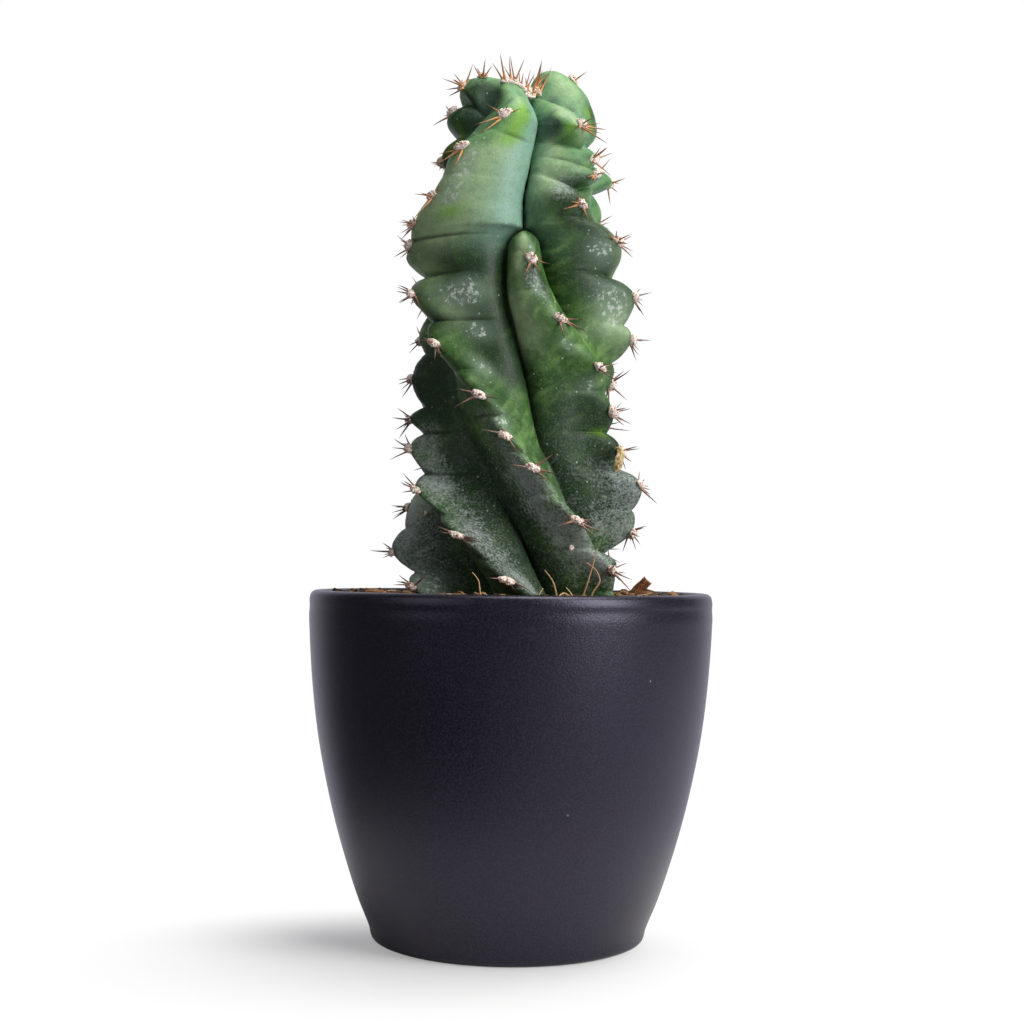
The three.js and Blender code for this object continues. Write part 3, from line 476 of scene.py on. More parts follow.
def tubes(paths, radii, sides, **marks):
    """Closed tubes along paths (many, steps, 3), with a radius at each step.

    A ring of points stands square to the path at each step, and a point closes either end.
    """
    way = unit(np.gradient(paths, axis=1))
    steep = np.abs(way[:, :1, 2:]) > 0.8
    side = unit(np.cross(way, np.where(steep, [1.0, 0, 0], [0, 0, 1.0])))
    other = np.cross(way, side)
    turn = full_turn(sides)
    ring = side[:, :, None] * np.cos(turn)[:, None] + other[:, :, None] * np.sin(turn)[:, None]
    skin = paths[:, :, None] + np.asarray(radii)[:, :, None, None] * ring
    marks = {name: np.broadcast_to(v[..., None], v.shape + (sides,)) for name, v in marks.items()}
    return lattice(skin, paths[:, 0], paths[:, -1], **marks)


def put(name, patches, material, slot, replaces=None, smooth=True):
    """Makes one mesh object in metres from patches in millimetres; unless slot is None, hangs it under the root body
    and hides the imported part that it replaces.
    """
    marks = {key: np.concatenate([p[2].get(key, np.zeros(len(p[0]))) for p in patches])
             for key in sorted(set().union(*[p[2] for p in patches]))}
    starts = np.cumsum([0] + [len(p[0]) for p in patches])
    faces = [f + start for p, start in zip(patches, starts) for f in p[1]]
    counts = np.concatenate([np.full(len(f), f.shape[1]) for f in faces])
    mesh = bpy.data.meshes.new(name)
    mesh.vertices.add(starts[-1])
    mesh.vertices.foreach_set("co", (np.concatenate([p[0] for p in patches]) * MM).astype(np.float32).ravel())
    mesh.loops.add(int(counts.sum()))
    mesh.loops.foreach_set("vertex_index", np.concatenate([f.ravel() for f in faces]).astype(np.int32))
    mesh.polygons.add(len(counts))
    mesh.polygons.foreach_set("loop_start", (np.cumsum(counts) - counts).astype(np.int32))
    mesh.update(calc_edges=True)
    if mesh.validate():
        raise RuntimeError(f"{name} has faces that don't hold together")
    mesh.polygons.foreach_set("use_smooth", np.full(len(counts), smooth))
    for key, values in marks.items():
        mesh.attributes.new(key, "FLOAT", "POINT").data.foreach_set("value", values.astype(np.float32))
    mesh.materials.append(material)
    piece = bpy.data.objects.new(name, mesh)
    bpy.context.scene.collection.objects.link(piece)
    if slot is None:
        return piece
    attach(piece, "root")
    if replaces:
        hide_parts(replaces)
    return piece


def stand(name, data, right, up, back, place):
    """Puts a lamp or camera at a place in metres, looking away from back, with its own right and up as given."""
    thing = bpy.data.objects.new(name, data)
    axes = np.array([right, up, back, place], float).T
    thing.matrix_world = Matrix(np.vstack([axes, [0, 0, 0, 1]]).tolist())
    bpy.context.scene.collection.objects.link(thing)
    return thing


# Stem

def fullness(height, notches):
    """1 at the fullest part of a tubercle and 0 in the notches, a sine eased at both ends, and how far those are."""
    levels = [notches[0] + NOTCH_SPACING] + list(notches)
    while levels[-1] > ROOT:
        levels.append(levels[-1] - NOTCH_SPACING)
    levels = np.array(levels[::-1], float)
    j = np.clip(np.searchsorted(levels, height, side="left"), 1, len(levels) - 1)
    down = np.clip((levels[j] - height) / (levels[j] - levels[j - 1]), 0, 1)
    return np.sin(np.pi * down**0.8) ** 0.8, np.minimum(levels[j] - height, height - levels[j - 1])


def compasses(height):
    """Compass of each crest and each groove at each height, in radians, with how far the short rib has grown."""
    crests = [np.radians(through(rib["turn"], height)) for rib in RIBS]
    grooves = []
    for i, rib in enumerate(RIBS):
        after = crests[i + 1] if i + 1 < len(RIBS) else crests[0] + 2 * np.pi
        own = rib["groove"].get("turn")
        grooves.append(np.radians(through(own, height)) if own else (crests[i] + after) / 2)
    left = np.clip((height - KNOB_TOP + KNOB_ROUND) / KNOB_ROUND, 0, 1)
    grown = np.where(height >= KNOB_TOP, 0, np.sqrt(1 - left**2))
    front = np.radians(through(FRONT_GROOVE["turn"], height))
    for k in (0, SHORT_RIB):
        grooves[k] = front + (grooves[k] - front) * grown
    crests[SHORT_RIB] = front + (crests[SHORT_RIB] - front) * grown
    return crests, grooves, grown


def skin(height, steps):
    """Points of the stem's skin (heights, columns, 3), with the place of each column on its rib.

    On every rib the share s runs from 0 at the crest to 1 in the groove. The radius is the groove's
    floor, plus a wall sin(90 deg (1 - s)) ^ open as high as the flank, plus a ridge exp(-(way along
    the skin / half width) ^ 2) as high as the crest, thinned out where the wall falls below a third.
    Notches are taken off the crest between its tubercles and fade down the flank as exp(-1.2 (s / reach)
    ^ 2). Past the shoulder the ring shrinks by (1 + cos) / 2 towards the
    growing tip and its crests lift by the rise times sin. Returns points, share, distance to the
    nearest notch, and rib.
    """
    height = np.asarray(height, float)
    over = np.clip((height - SHOULDER) / DOME_ARC, 0, 1) * np.pi
    shrink = (1 + np.cos(over)) / 2
    level = np.where(height < SHOULDER, height, SHOULDER + (TIP[2] - SHOULDER) * (1 - shrink))
    middle = (AXIS_X + (TIP[0] - AXIS_X) * (1 - shrink), TIP[1] * (1 - shrink))
    crests, grooves, grown = compasses(height)
    even = np.linspace(0, 1, steps + 1)
    spaced = 0.45 * even + 0.55 * np.sin(np.pi / 2 * even)
    columns = []
    for i, rib in enumerate(RIBS):
        for side in (-1, 1):
            own = (i - 1) % len(RIBS) if side < 0 else i
            groove = grooves[own] - (2 * np.pi if side < 0 and i == 0 else 0)
            gully = RIBS[own]["groove"]
            floor = through(gully["floor"], height)
            if own in (0, SHORT_RIB):
                floor = np.where(height >= KNOB_TOP, through(FRONT_GROOVE["floor"], height), floor)
            floor, gape = floor[:, None], through(gully["open"], height)[:, None]
            share = (spaced[:0:-1] if side < 0 else spaced[:-1])[None]
            crest = through(rib["crest"], height)[:, None]
            lean = height[:, None] + share * (through(rib["sag"], height)[:, None] if "sag" in rib else 0)
            full, away = fullness(lean, rib["notches"])
            fade = np.exp(-1.2 * (share / through(rib["reach"], height)[:, None]) ** 2)
            notch = through(rib["cut"], lean) * (1 - full) * fade
            own_share = through(rib.get("shoulder", SHOULDER_SHARE), height)[:, None]
            growth = grown[:, None] if i == SHORT_RIB else 1.0
            flank = floor + (np.maximum(floor, own_share * crest - 0.8 * notch) - floor) * growth
            top = floor + (crest - notch - floor) * growth
            span = (groove - crests[i])[:, None]
            width = through(rib.get("ridge", RIDGE_WIDTH), height)[:, None]
            ridge = np.exp(-((np.abs(span) * share * crest / width) ** 2))
            wall = np.sin(np.pi / 2 * (1 - share)) ** gape
            radius = floor + (flank - floor) * wall + (top - flank) * ridge * np.minimum(1, 3 * wall)
            hang = through(rib["droop"], height)[:, None] * (radius - floor) / (crest - floor) if "droop" in rib else 0
            lift = (GROOVE_RISE + (rib["rise"] - GROOVE_RISE) * (1 - share**2)) * np.sin(over)[:, None]
            angle = crests[i][:, None] + span * share
            columns.append([middle[0][:, None] + radius * shrink[:, None] * np.sin(angle),
                            middle[1][:, None] - radius * shrink[:, None] * np.cos(angle),
                            level[:, None] + lift - hang,
                            np.broadcast_to(side * share, radius.shape), away, np.full(radius.shape, i)])
    x, y, z, share, away, rib = [np.concatenate(parts, 1) for parts in zip(*columns)]
    return np.stack([x, y, z], -1), share, away, rib


def seats(i, heights):
    """Seats of areoles on rib i: the point on the crest, and the way out of the skin, across it and up along it."""
    crest_at = lambda h: skin(h, 1)[0][:, 2 * i + 1]
    heights = np.asarray(heights, float)
    point = crest_at(heights)
    up = unit(crest_at(heights + 1) - crest_at(heights - 1))
    angle = compasses(heights)[0][i]
    across = np.stack([np.cos(angle), np.sin(angle), 0 * angle], -1)
    return point, unit(np.cross(across, up)), across, up


def all_seats():
    """Every areole above the soil: its seat, the way out, across and up, its rib and its height on the rib."""
    found = []
    for i, rib in enumerate(RIBS):
        heights = np.array(rib["areoles"], float)
        point, out, across, up = seats(i, heights)
        keep = point[:, 2] > SOIL_TOP + 4
        found.append([point[keep], out[keep], across[keep], up[keep], np.full(keep.sum(), i), heights[keep]])
    return [np.concatenate(parts) for parts in zip(*found)]


def bell(share, height, rib, spots):
    """Sum of soft round spots on the skin, each [rib, height, share, radius in mm]: exp(-(distance / radius) ^ 2)."""
    total = np.zeros(share.shape)
    for own, level, at, radius in spots:
        across = (share - at) * FLANK_WIDTH
        total += (rib == own) * np.exp(-(((height - level) ** 2 + across**2) / radius**2))
    return total


def stem_patch(rows_body=390, rows_dome=84, steps=16):
    """The stem's skin with creases at the notches, slow lumps and fine wrinkles along the grooves.

    Each point moves along its normal by lumps of 9, 3.5 and 1.4 mm, less a furrow exp(-(distance to the
    notch / 0.55 mm) ^ 2), and by short wrinkles square to the groove. The marks say how much of each
    finish a point has, from 0 to 1; deep and crease also carry painted shade, and pale and glaucous a painted
    highlight in places.
    """
    height = np.concatenate([np.linspace(ROOT, 118, 10)[:-1], np.linspace(118, SHOULDER, rows_body),
                             SHOULDER + DOME_ARC * np.linspace(0, 1, rows_dome + 1)[1:-1]])
    points, share, away, rib = skin(height, steps)
    around = np.roll(points, -1, 1) - np.roll(points, 1, 1)
    normal = unit(np.cross(around, np.gradient(points, axis=0)))
    near, h = np.abs(share), height[:, None] + 0 * share
    window = np.exp(-((near / 0.8) ** 6)) * eased(height, 122, 135)[:, None] * eased(-height, -318, -300)[:, None]
    strength = np.clip(0.1 + 0.3 * noise(points, 14, 5) + bell(share, h, rib, CREASED), 0, 1)
    crease = np.exp(-((away / 0.55) ** 2)) * window * strength
    tucks = eased(near, 0.72, 0.95) * noise(np.stack([share * 3, h, rib * 40], -1), 1.6, 9)
    lumps = 0.32 * noise(points, 9, 1) + 0.16 * noise(points, 3.5, 2) + 0.05 * noise(points, 1.4, 3)
    calm = eased(-height, -322, -304)[:, None]
    points = points + normal * ((lumps * (1 - 0.6 * near**4) - 0.55 * crease + 0.07 * tucks) * calm)[..., None]
    z = points[..., 2]
    streaks = noise(np.stack([share * 7, h / 9, rib * 40], -1), 1.0, 7)
    swirl = np.stack([share * 2.2, (h - 14 * share) / 2.4, rib * 40], -1)
    swirls = 0.6 * noise(swirl, 1.0, 15) + 0.4 * noise(swirl, 0.45, 16)
    bands = sum((rib == own) * eased(h, low - 6, low + 4) * eased(-h, -high - 5, -high + 5)
                * np.exp(-(((share - at) / wide) ** 2)) for own, low, high, at, wide in DUSTY)
    marks = {
        "young": eased(z, 232, 292),
        "crease": crease,
        "dust": np.clip(0.16 * eased(-z, -200, -150) + 0.9 * bands * (0.72 + 0.55 * streaks), 0, 1),
        # Blue-grey wax by the grooves; on the front left rib's flank by the front groove it is partly a painted bluish
        # highlight
        "glaucous": np.clip(np.where((rib == 0) & (share > 0), eased(near, 0.35, 0.8) * eased(z, 238, 262), 0)
                            + 0.4 * eased(near, 0.5, 0.95) * eased(z, 236, 256), 0, 1),
        "swirl": 0.5 + 0.5 * swirls + 0.45 * tucks,
        "flush": np.clip(bell(share, h, rib, FLUSHED), 0, 1),
        # Pale waxy green, partly a painted highlight where lobes face the light
        "pale": np.clip(bell(share, h, rib, PALE_AND_LIT), 0, 1),
        # Deep green spots that are mostly painted shade, painted shade low in the grooves, and darker towards the
        # bottom
        "deep": np.clip(bell(share, h, rib, DEEP_AND_SHADE) + 0.6 * eased(near, 0.75, 1) * eased(-z, -245, -200)
                        + 0.35 * eased(-z, -190, -150), 0, 1),
        "fleck": np.clip(bell(share, h, rib, FLECKED), 0, 1),
    }
    return lattice(points, np.array([AXIS_X, 0, ROOT]), np.array(TIP), **marks)


def wool_patches(point, out, across, up, size, generator):
    """Woolly cushions on the seats: a low dome whose radius is roughened, set about with round tufts.

    The dome is size cos(lift) wide and 0.8 size sin(lift) high, each point moved by noise.
    """
    many = len(point)
    lift = np.linspace(-0.35, 1.35, 6)[:, None]
    turn = np.linspace(0, 2 * np.pi, 13)[:-1][None]
    flat = np.cos(lift)[None, ..., None]
    body = (across[:, None, None] * flat * np.cos(turn)[..., None] + up[:, None, None] * flat * np.sin(turn)[..., None]
            + out[:, None, None] * 0.8 * np.sin(lift)[None, ..., None])
    dome = point[:, None, None] + size[:, None, None, None] * body
    dome = dome + body * (0.42 * noise(dome, 0.9, 4))[..., None]
    patches = [lattice(dome, point - 0.3 * out, point + (0.84 * size)[:, None] * out)]
    tufts = 12
    spin = generator.uniform(0, 2 * np.pi, (many, tufts))
    off = size[:, None] * np.sqrt(generator.uniform(0.05, 0.75, (many, tufts)))
    centre = (point[:, None] + across[:, None] * (off * np.cos(spin))[..., None]
              + up[:, None] * (off * np.sin(spin))[..., None]
              + out[:, None] * (0.72 * np.sqrt(np.maximum(size[:, None] ** 2 - off**2, 0)))[..., None])
    patches.append(pebbles(centre.reshape(-1, 3), generator.uniform(0.3, 0.62, many * tufts), generator, 5, 3))
    return patches


def pebbles(centre, radius, generator, columns, rows, squash=None, boxy=1.0, ragged=0.18):
    """Small closed lumps: balls, or boxes with soft edges as boxy falls, stretched, turned and made ragged.

    Each point is the sign of the sine or cosine times its size to the power boxy, on each axis.
    """
    many = len(centre)
    lift = np.linspace(-np.pi / 2, np.pi / 2, rows + 2)[1:-1][:, None]
    turn = full_turn(columns)[None]
    power = lambda c: np.sign(c) * np.abs(c) ** boxy
    shape = np.stack([power(np.cos(lift)) * power(np.cos(turn)), power(np.cos(lift)) * power(np.sin(turn)),
                      power(np.sin(lift)) + 0 * turn], -1)
    scale = np.ones((many, 3)) if squash is None else squash
    local = shape[None] * scale[:, None, None] * np.asarray(radius)[:, None, None, None]
    local = local * (1 + ragged * generator.uniform(-1, 1, local.shape[:3]))[..., None]
    ends = scale[:, 2] * radius
    yaw = generator.uniform(0, 2 * np.pi, many)
    tip, roll = generator.normal(0, 0.28, (2, many))
    zero, one = np.zeros(many), np.ones(many)
    matrix = lambda parts: np.moveaxis(np.array(parts), -1, 0)
    turned = (matrix([[np.cos(yaw), -np.sin(yaw), zero], [np.sin(yaw), np.cos(yaw), zero], [zero, zero, one]])
              @ matrix([[one, zero, zero], [zero, np.cos(tip), -np.sin(tip)], [zero, np.sin(tip), np.cos(tip)]])
              @ matrix([[np.cos(roll), zero, np.sin(roll)], [zero, one, zero], [-np.sin(roll), zero, np.cos(roll)]]))
    placed = np.einsum("nij,nrcj->nrci", turned, local) + centre[:, None, None]
    axis = turned[:, :, 2] * ends[:, None]
    tone = np.broadcast_to(generator.uniform(0, 1, many)[:, None, None], placed.shape[:3])
    return lattice(placed, centre - axis, centre + axis, tone=tone)


def spine_patch(root, way, length, thickness, bend, young, steps=7):
    """Tapering spines from their roots: a swollen base, then a shaft that thins evenly to a fine tip.

    The path bends by the square of the share of its length. The radius is 0.06 + 0.94 (1 - share) ^ 0.8
    of the base's, plus a bulb exp(-((way from the root - root depth) / 0.6 mm) ^ 2) half as thick.
    """
    share = np.linspace(0, 1, steps)[None] ** 1.15
    path = root[:, None] + way[:, None] * (share * length[:, None])[..., None]
    path = path + bend[:, None] * (share**2 * length[:, None])[..., None]
    radius = thickness[:, None] * (0.06 + 0.94 * (1 - share) ** 0.8)
    radius = radius + 0.5 * thickness[:, None] * np.exp(-((share * length[:, None] - ROOT_DEPTH) / 0.6) ** 2)
    return tubes(path, radius, 5, along=share + 0 * radius, young=young[:, None] + 0 * radius)


def spine_ways(found, generator, behind, longest):
    """Root, way, length and seat of every spine, and how many of the last ones are hidden behind their own rib.

    A spine leaves its seat at a splay from straight out, in a compass counted from across towards up: as measured
    where SPINES has it, and elsewhere four to six in a ring and one that stands out, drawn by the generator. A
    measured one that looks short points along the line of sight: it keeps what the front shows of it and gets its
    length in depth. Measured areoles at the sides also have hidden spines, which grow away from the front.
    """
    point, out, across, up, rib, height = found
    rows, hidden = [], []
    for k in range(len(point)):
        known = SPINES.get(RIBS[rib[k]]["name"], {}).get(height[k])
        if known is None:
            count = generator.integers(5, 8)
            start = generator.uniform(0, 360)
            known = [(start + 360 * (n + generator.uniform(-0.25, 0.25)) / (count - 1), generator.uniform(52, 74),
                      longest * generator.uniform(0.4, 0.85)) for n in range(count - 1)]
            known.append((generator.uniform(0, 360), generator.uniform(8, 30), longest * generator.uniform(0.6, 1)))
        else:
            known = known + [(generator.uniform(0, 360), generator.uniform(10, 30), generator.uniform(4, 7))]
            if abs(out[k, 0]) > 0.8:
                back = np.degrees(np.arctan2(up[k, 1], across[k, 1]))
                hidden += [(k, back + lean + behind.uniform(-14, 14), behind.uniform(66, 76),
                            longest * behind.uniform(0.45, 0.8)) for lean in (-38, 0, 38)]
        rows += [(k, *spine) for spine in known]
    k, turn, splay, length = np.array(rows + hidden).T
    k, turn, splay = k.astype(int), np.radians(turn), np.radians(splay)
    way = (out[k] * np.cos(splay)[:, None] + across[k] * (np.sin(splay) * np.cos(turn))[:, None]
           + up[k] * (np.sin(splay) * np.sin(turn))[:, None])
    shown = length * np.hypot(way[:, 0], way[:, 2])
    whole = np.maximum(length, behind.uniform(*TRUE_LENGTH, len(length)))
    depth = np.sqrt(whole**2 - shown**2) * np.where(out[k, 1] > -0.3, 1, -1)
    fore = (length < SHORT_SPINE) & (np.abs(out[k, 1]) < 0.75)
    way = np.where(fore[:, None], np.stack([way[:, 0] * length, depth, way[:, 2] * length], -1) / whole[:, None], way)
    length = np.where(fore, whole, length)
    way = way + out[k] * np.maximum(0.2 - (way * out[k]).sum(-1), 0)[:, None]
    low = point[k][:, 2] + way[:, 2] * length < SOIL_TOP + 3
    way[low, 2] = np.abs(way[low, 2])
    way = unit(way)
    return point[k] + ROOT_DEPTH * way - ROOT_DEPTH * out[k], way, length, k, len(hidden)


def tip_spines(seat, each, generator):
    """Young spines crowded on the newest areoles: they stand up and splay away from the growing tip."""
    foot = np.repeat(seat, each, 0)
    many = len(foot)
    away = (foot - np.mean(seat, 0)) * [0.07, 0.05, 0]
    loose = generator.normal(0, 0.42, (many, 3)) * [1, 1, 0]
    way = unit(away + loose + [0, -0.1, 1])
    return foot + loose * 1.5, way, generator.uniform(4, 12, many)


def flower_patch(rings=26, columns=20):
    """Dried flower remnant: a crumpled tube that hangs from an areole, its radius folded lengthwise and by noise.

    The radius is that of WITHERED along its path, times 1 + 0.2 cos(5 turns) and the noise.
    """
    table = along_path(WITHERED, rings)
    path, radius = table[:, :3], table[:, 3]
    down = unit(np.gradient(path, axis=0))
    right = unit(np.cross(down, [0, 1.0, 0]))
    turn = full_turn(columns)
    ring = right[:, None] * np.cos(turn)[None, :, None] + np.cross(down, right)[:, None] * np.sin(turn)[None, :, None]
    fold = radius[:, None] * (1 + 0.2 * np.cos(5 * turn)[None])
    points = path[:, None] + fold[..., None] * ring
    points = points + ring * (0.35 * noise(points, 1.3, 12) * fold)[..., None]
    return lattice(points, path[0], path[-1])


# Pot and bed

def turned_patch(profile, columns, finer=5):
    """Turned body from [radius, height] points that start and end on the axis, with a smooth curve between them."""
    profile = np.array(profile, float)
    inner = profile[1:-1]
    run = np.concatenate([[0], np.cumsum(np.linalg.norm(np.diff(inner, axis=0), axis=1))])
    fine = np.concatenate([np.linspace(a, b, finer, endpoint=False) for a, b in zip(run[:-1], run[1:])] + [run[-1:]])
    radius = through(np.stack([run, inner[:, 0]], -1), fine)
    level = through(np.stack([run, inner[:, 1]], -1), fine)
    turn = full_turn(columns)[None]
    body = np.stack([radius[:, None] * np.sin(turn), -radius[:, None] * np.cos(turn), level[:, None] + 0 * turn], -1)
    return lattice(body, np.array([0, 0, profile[0, 1]]), np.array([0, 0, profile[-1, 1]]))


def bed_height(x, y):
    """Height of the bed's surface: three slow waves, plus lumps of 6 and 2.2 mm, less 0.8 mm eased in at the rim."""
    angle, radius = np.arctan2(x, -y), np.hypot(x, y)
    waves = (0.5 * np.sin(3 * angle + 0.08 * radius) + 0.45 * np.sin(7 * angle - 0.2 * radius)
             + 0.35 * np.cos(0.4 * radius + 2 * angle))
    flat = np.stack([x, y, 0 * x], -1)
    rim = eased(radius, 58, 66.5)
    return SOIL_TOP + waves - 0.8 * rim + 0.7 * noise(flat, 6, 21) + 0.45 * noise(flat, 2.2, 22)


def bed_patch(columns=150, rings=46):
    """Filled bed: the pot's inner wall a gap away from the floor up, then the rough surface in to the middle."""
    walls = np.array([[r - GAP, h + GAP] for r, h in POT_INSIDE[::-1] if h < SOIL_TOP - 2])
    turn = full_turn(columns)
    ring = lambda r: np.stack([r * np.sin(turn), -r * np.cos(turn)], -1)
    low = np.stack([np.column_stack([ring(r), np.full(columns, h)]) for r, h in walls])
    edge = POT_RADIUS - WALL - GAP - 0.2
    radii = np.linspace(edge, 1.5, rings)
    flat = np.stack([ring(r) for r in radii])
    top = np.concatenate([flat, bed_height(flat[..., 0], flat[..., 1])[..., None]], -1)
    return lattice(np.concatenate([low, top]), np.array([0, 0, walls[0, 1]]), np.array([0, 0, SOIL_TOP]))


def stem_radius(angle):
    """How far out the stem reaches at the surface of the bed, by compass: the most in each of 72 sectors."""
    ring = skin(np.array([SOIL_TOP, SOIL_TOP + 3.0]), 8)[0].reshape(-1, 3)
    turn, radius = np.arctan2(ring[:, 0], -ring[:, 1]), np.hypot(ring[:, 0], ring[:, 1])
    bins = np.linspace(-np.pi, np.pi, 73)
    most = np.array([radius[(turn >= a - 0.05) & (turn <= b + 0.05)].max() for a, b in zip(bins[:-1], bins[1:])])
    return most[np.clip(np.digitize(angle, bins) - 1, 0, len(most) - 1)]


def scattered(many, generator, clear):
    """Places on the bed between the stem and the pot: compass and radius are drawn evenly over the area."""
    angle = generator.uniform(-np.pi, np.pi, many)
    radius = np.sqrt(generator.uniform(24**2, PLACE_EDGE**2, many))
    keep = radius > stem_radius(angle) + clear
    return radius[keep] * np.sin(angle[keep]), -radius[keep] * np.cos(angle[keep])


def along_path(pairs, steps):
    """Points evenly along a smooth curve through a few [x, y, z] points, with any further value that they carry."""
    pairs = np.array(pairs, float)
    run = np.concatenate([[0], np.cumsum(np.linalg.norm(np.diff(pairs[:, :3], axis=0), axis=1))])
    fine = np.linspace(0, run[-1], steps)
    return np.stack([through(np.stack([run, column], -1), fine) for column in pairs.T], -1)


def rootlet_patches(generator):
    """Dry rootlets: the ones at known places, some that arch over the bed, and short fibres strewn on it.

    An arch is half a sine over its share of the compass. A fibre curls by its share of a turn, and is
    humped by 1 - 4 share ^ 2.
    """
    steps = 18
    known = np.stack([along_path(path, steps) for path in ROOTLETS])
    patches = [tubes(known, np.broadcast_to(np.linspace(0.36, 0.17, steps), (len(ROOTLETS), steps)), 6,
                     tone=np.linspace(0.75, 1, len(ROOTLETS))[:, None] + np.zeros((1, steps)))]
    arches = np.array(ARCHES, float)
    share = np.linspace(0, 1, steps)[None]
    angle = np.radians(arches[:, :1] + arches[:, 2:3] * (share - 0.5))
    out = arches[:, 1:2] + 2 * np.sin(np.pi * share * 1.7)
    level = SOIL_TOP - 2 + arches[:, 3:] * np.sin(np.pi * 0.72 * share)
    arch = np.stack([out * np.sin(angle), -out * np.cos(angle), level], -1)
    patches.append(tubes(arch, np.full(level.shape, 0.3), 6, tone=np.full(level.shape, 0.8)))
    x, y = scattered(FIBRES, generator, 2)
    many, steps = len(x), 9
    share = np.linspace(-0.5, 0.5, steps)[None]
    turn = generator.uniform(0, 2 * np.pi, many)[:, None]
    curl = generator.normal(0, 1.4, many)[:, None]
    reach = generator.uniform(4, 13, many)[:, None]
    px = x[:, None] + reach * share * np.cos(turn + curl * share)
    py = y[:, None] + reach * share * np.sin(turn + curl * share)
    inside = np.minimum(1, ROOTLET_EDGE / np.hypot(px, py))
    px, py = px * inside, py * inside
    hump = generator.uniform(0, 1.6, many)[:, None] * (1 - 4 * share**2)
    path = np.stack([px, py, bed_height(px, py) + 0.25 + hump], -1)
    radius = generator.uniform(0.12, 0.3, many)[:, None] * (1 - 1.2 * share**2)
    patches.append(tubes(path, radius, 4, tone=generator.uniform(0, 1, many)[:, None] + 0 * radius))
    return patches


def stick_patch():
    """Broken bark stick: a rod whose radius is ribbed along its length and torn into splinters at the top.

    The radius is that of STICK times the sum of 1.16, sines of 5 and 11 waves round it that turn along it, a
    grain and one knot. The rings at the top shift up and down by noise.
    """
    start, end = np.array(STICK["from"], float), np.array(STICK["to"], float)
    way = unit(end - start)
    side = unit(np.cross(way, [0, 0, 1.0]))
    other = np.cross(way, side)
    share = np.linspace(0, 1, 40)[:, None]
    turn = full_turn(36)[None]
    ribs = 0.13 * np.sin(5 * turn + 3 * share) + 0.08 * np.sin(11 * turn - 5 * share)
    bent = [3 * np.cos(turn) + 0 * share, 3 * np.sin(turn) + 0 * share, 9 * share + 0 * turn]
    grain = noise(np.stack(bent, -1), 0.8, 31)
    knot = 0.22 * np.exp(-(((share - 0.62) / 0.05) ** 2)) * (1 + np.cos(turn - 1.2)) / 2
    radius = STICK["radius"] * (1.16 + ribs + 0.14 * grain + knot) * (1 - 0.1 * share**3)
    splinter = 0.3 * eased(share, 0.8, 1) * noise(np.stack([4 * np.cos(turn), 4 * np.sin(turn), 0 * turn], -1), 1.0, 32)
    level = share * np.linalg.norm(end - start) + splinter - 0.3 * eased(share, 0.86, 1)
    body = (start + way * level[..., None] + side * (radius * np.cos(turn))[..., None]
            + other * (radius * np.sin(turn))[..., None])
    return lattice(body, start, end - 0.9 * way, torn=eased(share, 0.94, 1) + 0 * turn)


# Finishes

# A Mix node of two colours: its third output is their mix
TINTS = {"out": 2, "data_type": "RGBA"}


def add(tree, kind, inputs=(), out=0, **settings):
    """Adds a shader node with its settings and links, and returns one of its outputs, or the node where out is None.

    Inputs gives each named or numbered socket a value or the output that feeds it. In a MapRange 0 is the value,
    1 and 2 its ends, and 3 and 4 what they turn to. In a Mix of colours 0 is the share, 6 and 7 the colours.
    """
    node = tree.nodes.new("ShaderNode" + kind)
    for key, value in settings.items():
        setattr(node, key, value)
    for key, value in dict(inputs).items():
        if isinstance(value, bpy.types.NodeSocket):
            tree.links.new(value, node.inputs[key])
        elif isinstance(value, str):
            node.inputs[key].default_value = (*linear(value), 1)
        elif isinstance(value, Color):
            node.inputs[key].default_value = (*value, 1)
        else:
            node.inputs[key].default_value = value
    return node if out is None else node.outputs[out]


def finish(name, surface):
    """New material whose Principled surface takes the sockets that surface(tree, place) gives."""
    material = bpy.data.materials.new(name)
    material.use_nodes = True
    tree = material.node_tree
    tree.nodes.clear()
    shader = add(tree, "BsdfPrincipled", surface(tree, add(tree, "TexCoord", out="Object")))
    add(tree, "OutputMaterial", {"Surface": shader}, out=None)
    return material


def stoneware(pot):
    """Stoneware under a matt engobe, sprayed and fired: dark with a violet cast and a broad soft gleam."""
    def surface(tree, place):
        # Cloudiness of the sprayed coat, about 25 mm across
        cloud = add(tree, "TexNoise", {"Vector": place, "Scale": 40, "Detail": 3})
        base = add(tree, "Mix", {0: cloud, 6: pot.glaze, 7: pot.glaze_cloud}, **TINTS)
        # A pale grain burnt through every few millimetres, drawn at 0.4 mm so that it shows
        cells = add(tree, "TexVoronoi", {"Vector": place, "Scale": 260}, out=None)
        dot = add(tree, "MapRange", {0: cells.outputs["Distance"], 1: 0.12, 2: 0.05})
        few = add(tree, "MapRange", {0: cells.outputs["Color"], 1: 0.9, 2: 0.93})
        speck = add(tree, "Math", {0: dot, 1: few}, operation="MULTIPLY")
        colour = add(tree, "Mix", {0: speck, 6: base, 7: "#77717F"}, **TINTS)
        # Orange-peel and pigment grain of the coat, 0.6 mm across
        fine = add(tree, "TexNoise", {"Vector": place, "Scale": 1500, "Detail": 2})
        grain = add(tree, "MapRange", {0: fine, 1: 0.4, 2: 0.7, 3: 0.0, 4: 0.75})
        colour = add(tree, "Mix", {0: grain, 6: colour, 7: "#25222D"}, **TINTS)
        peel = add(tree, "Bump", {"Height": fine, "Distance": 0.1 * MM, "Strength": 0.8})
        rough = add(tree, "MapRange", {0: fine, 1: 0.3, 2: 0.7, 3: pot.dullness - 0.03, 4: pot.dullness + 0.05})
        return {"Base Color": colour, "Roughness": rough, "Normal": peel, "IOR": 1.5, "Specular IOR Level": 0.55,
                "Specular Tint": (0.82, 0.78, 1.0, 1)}
    return finish("matt_engobe_stoneware", surface)


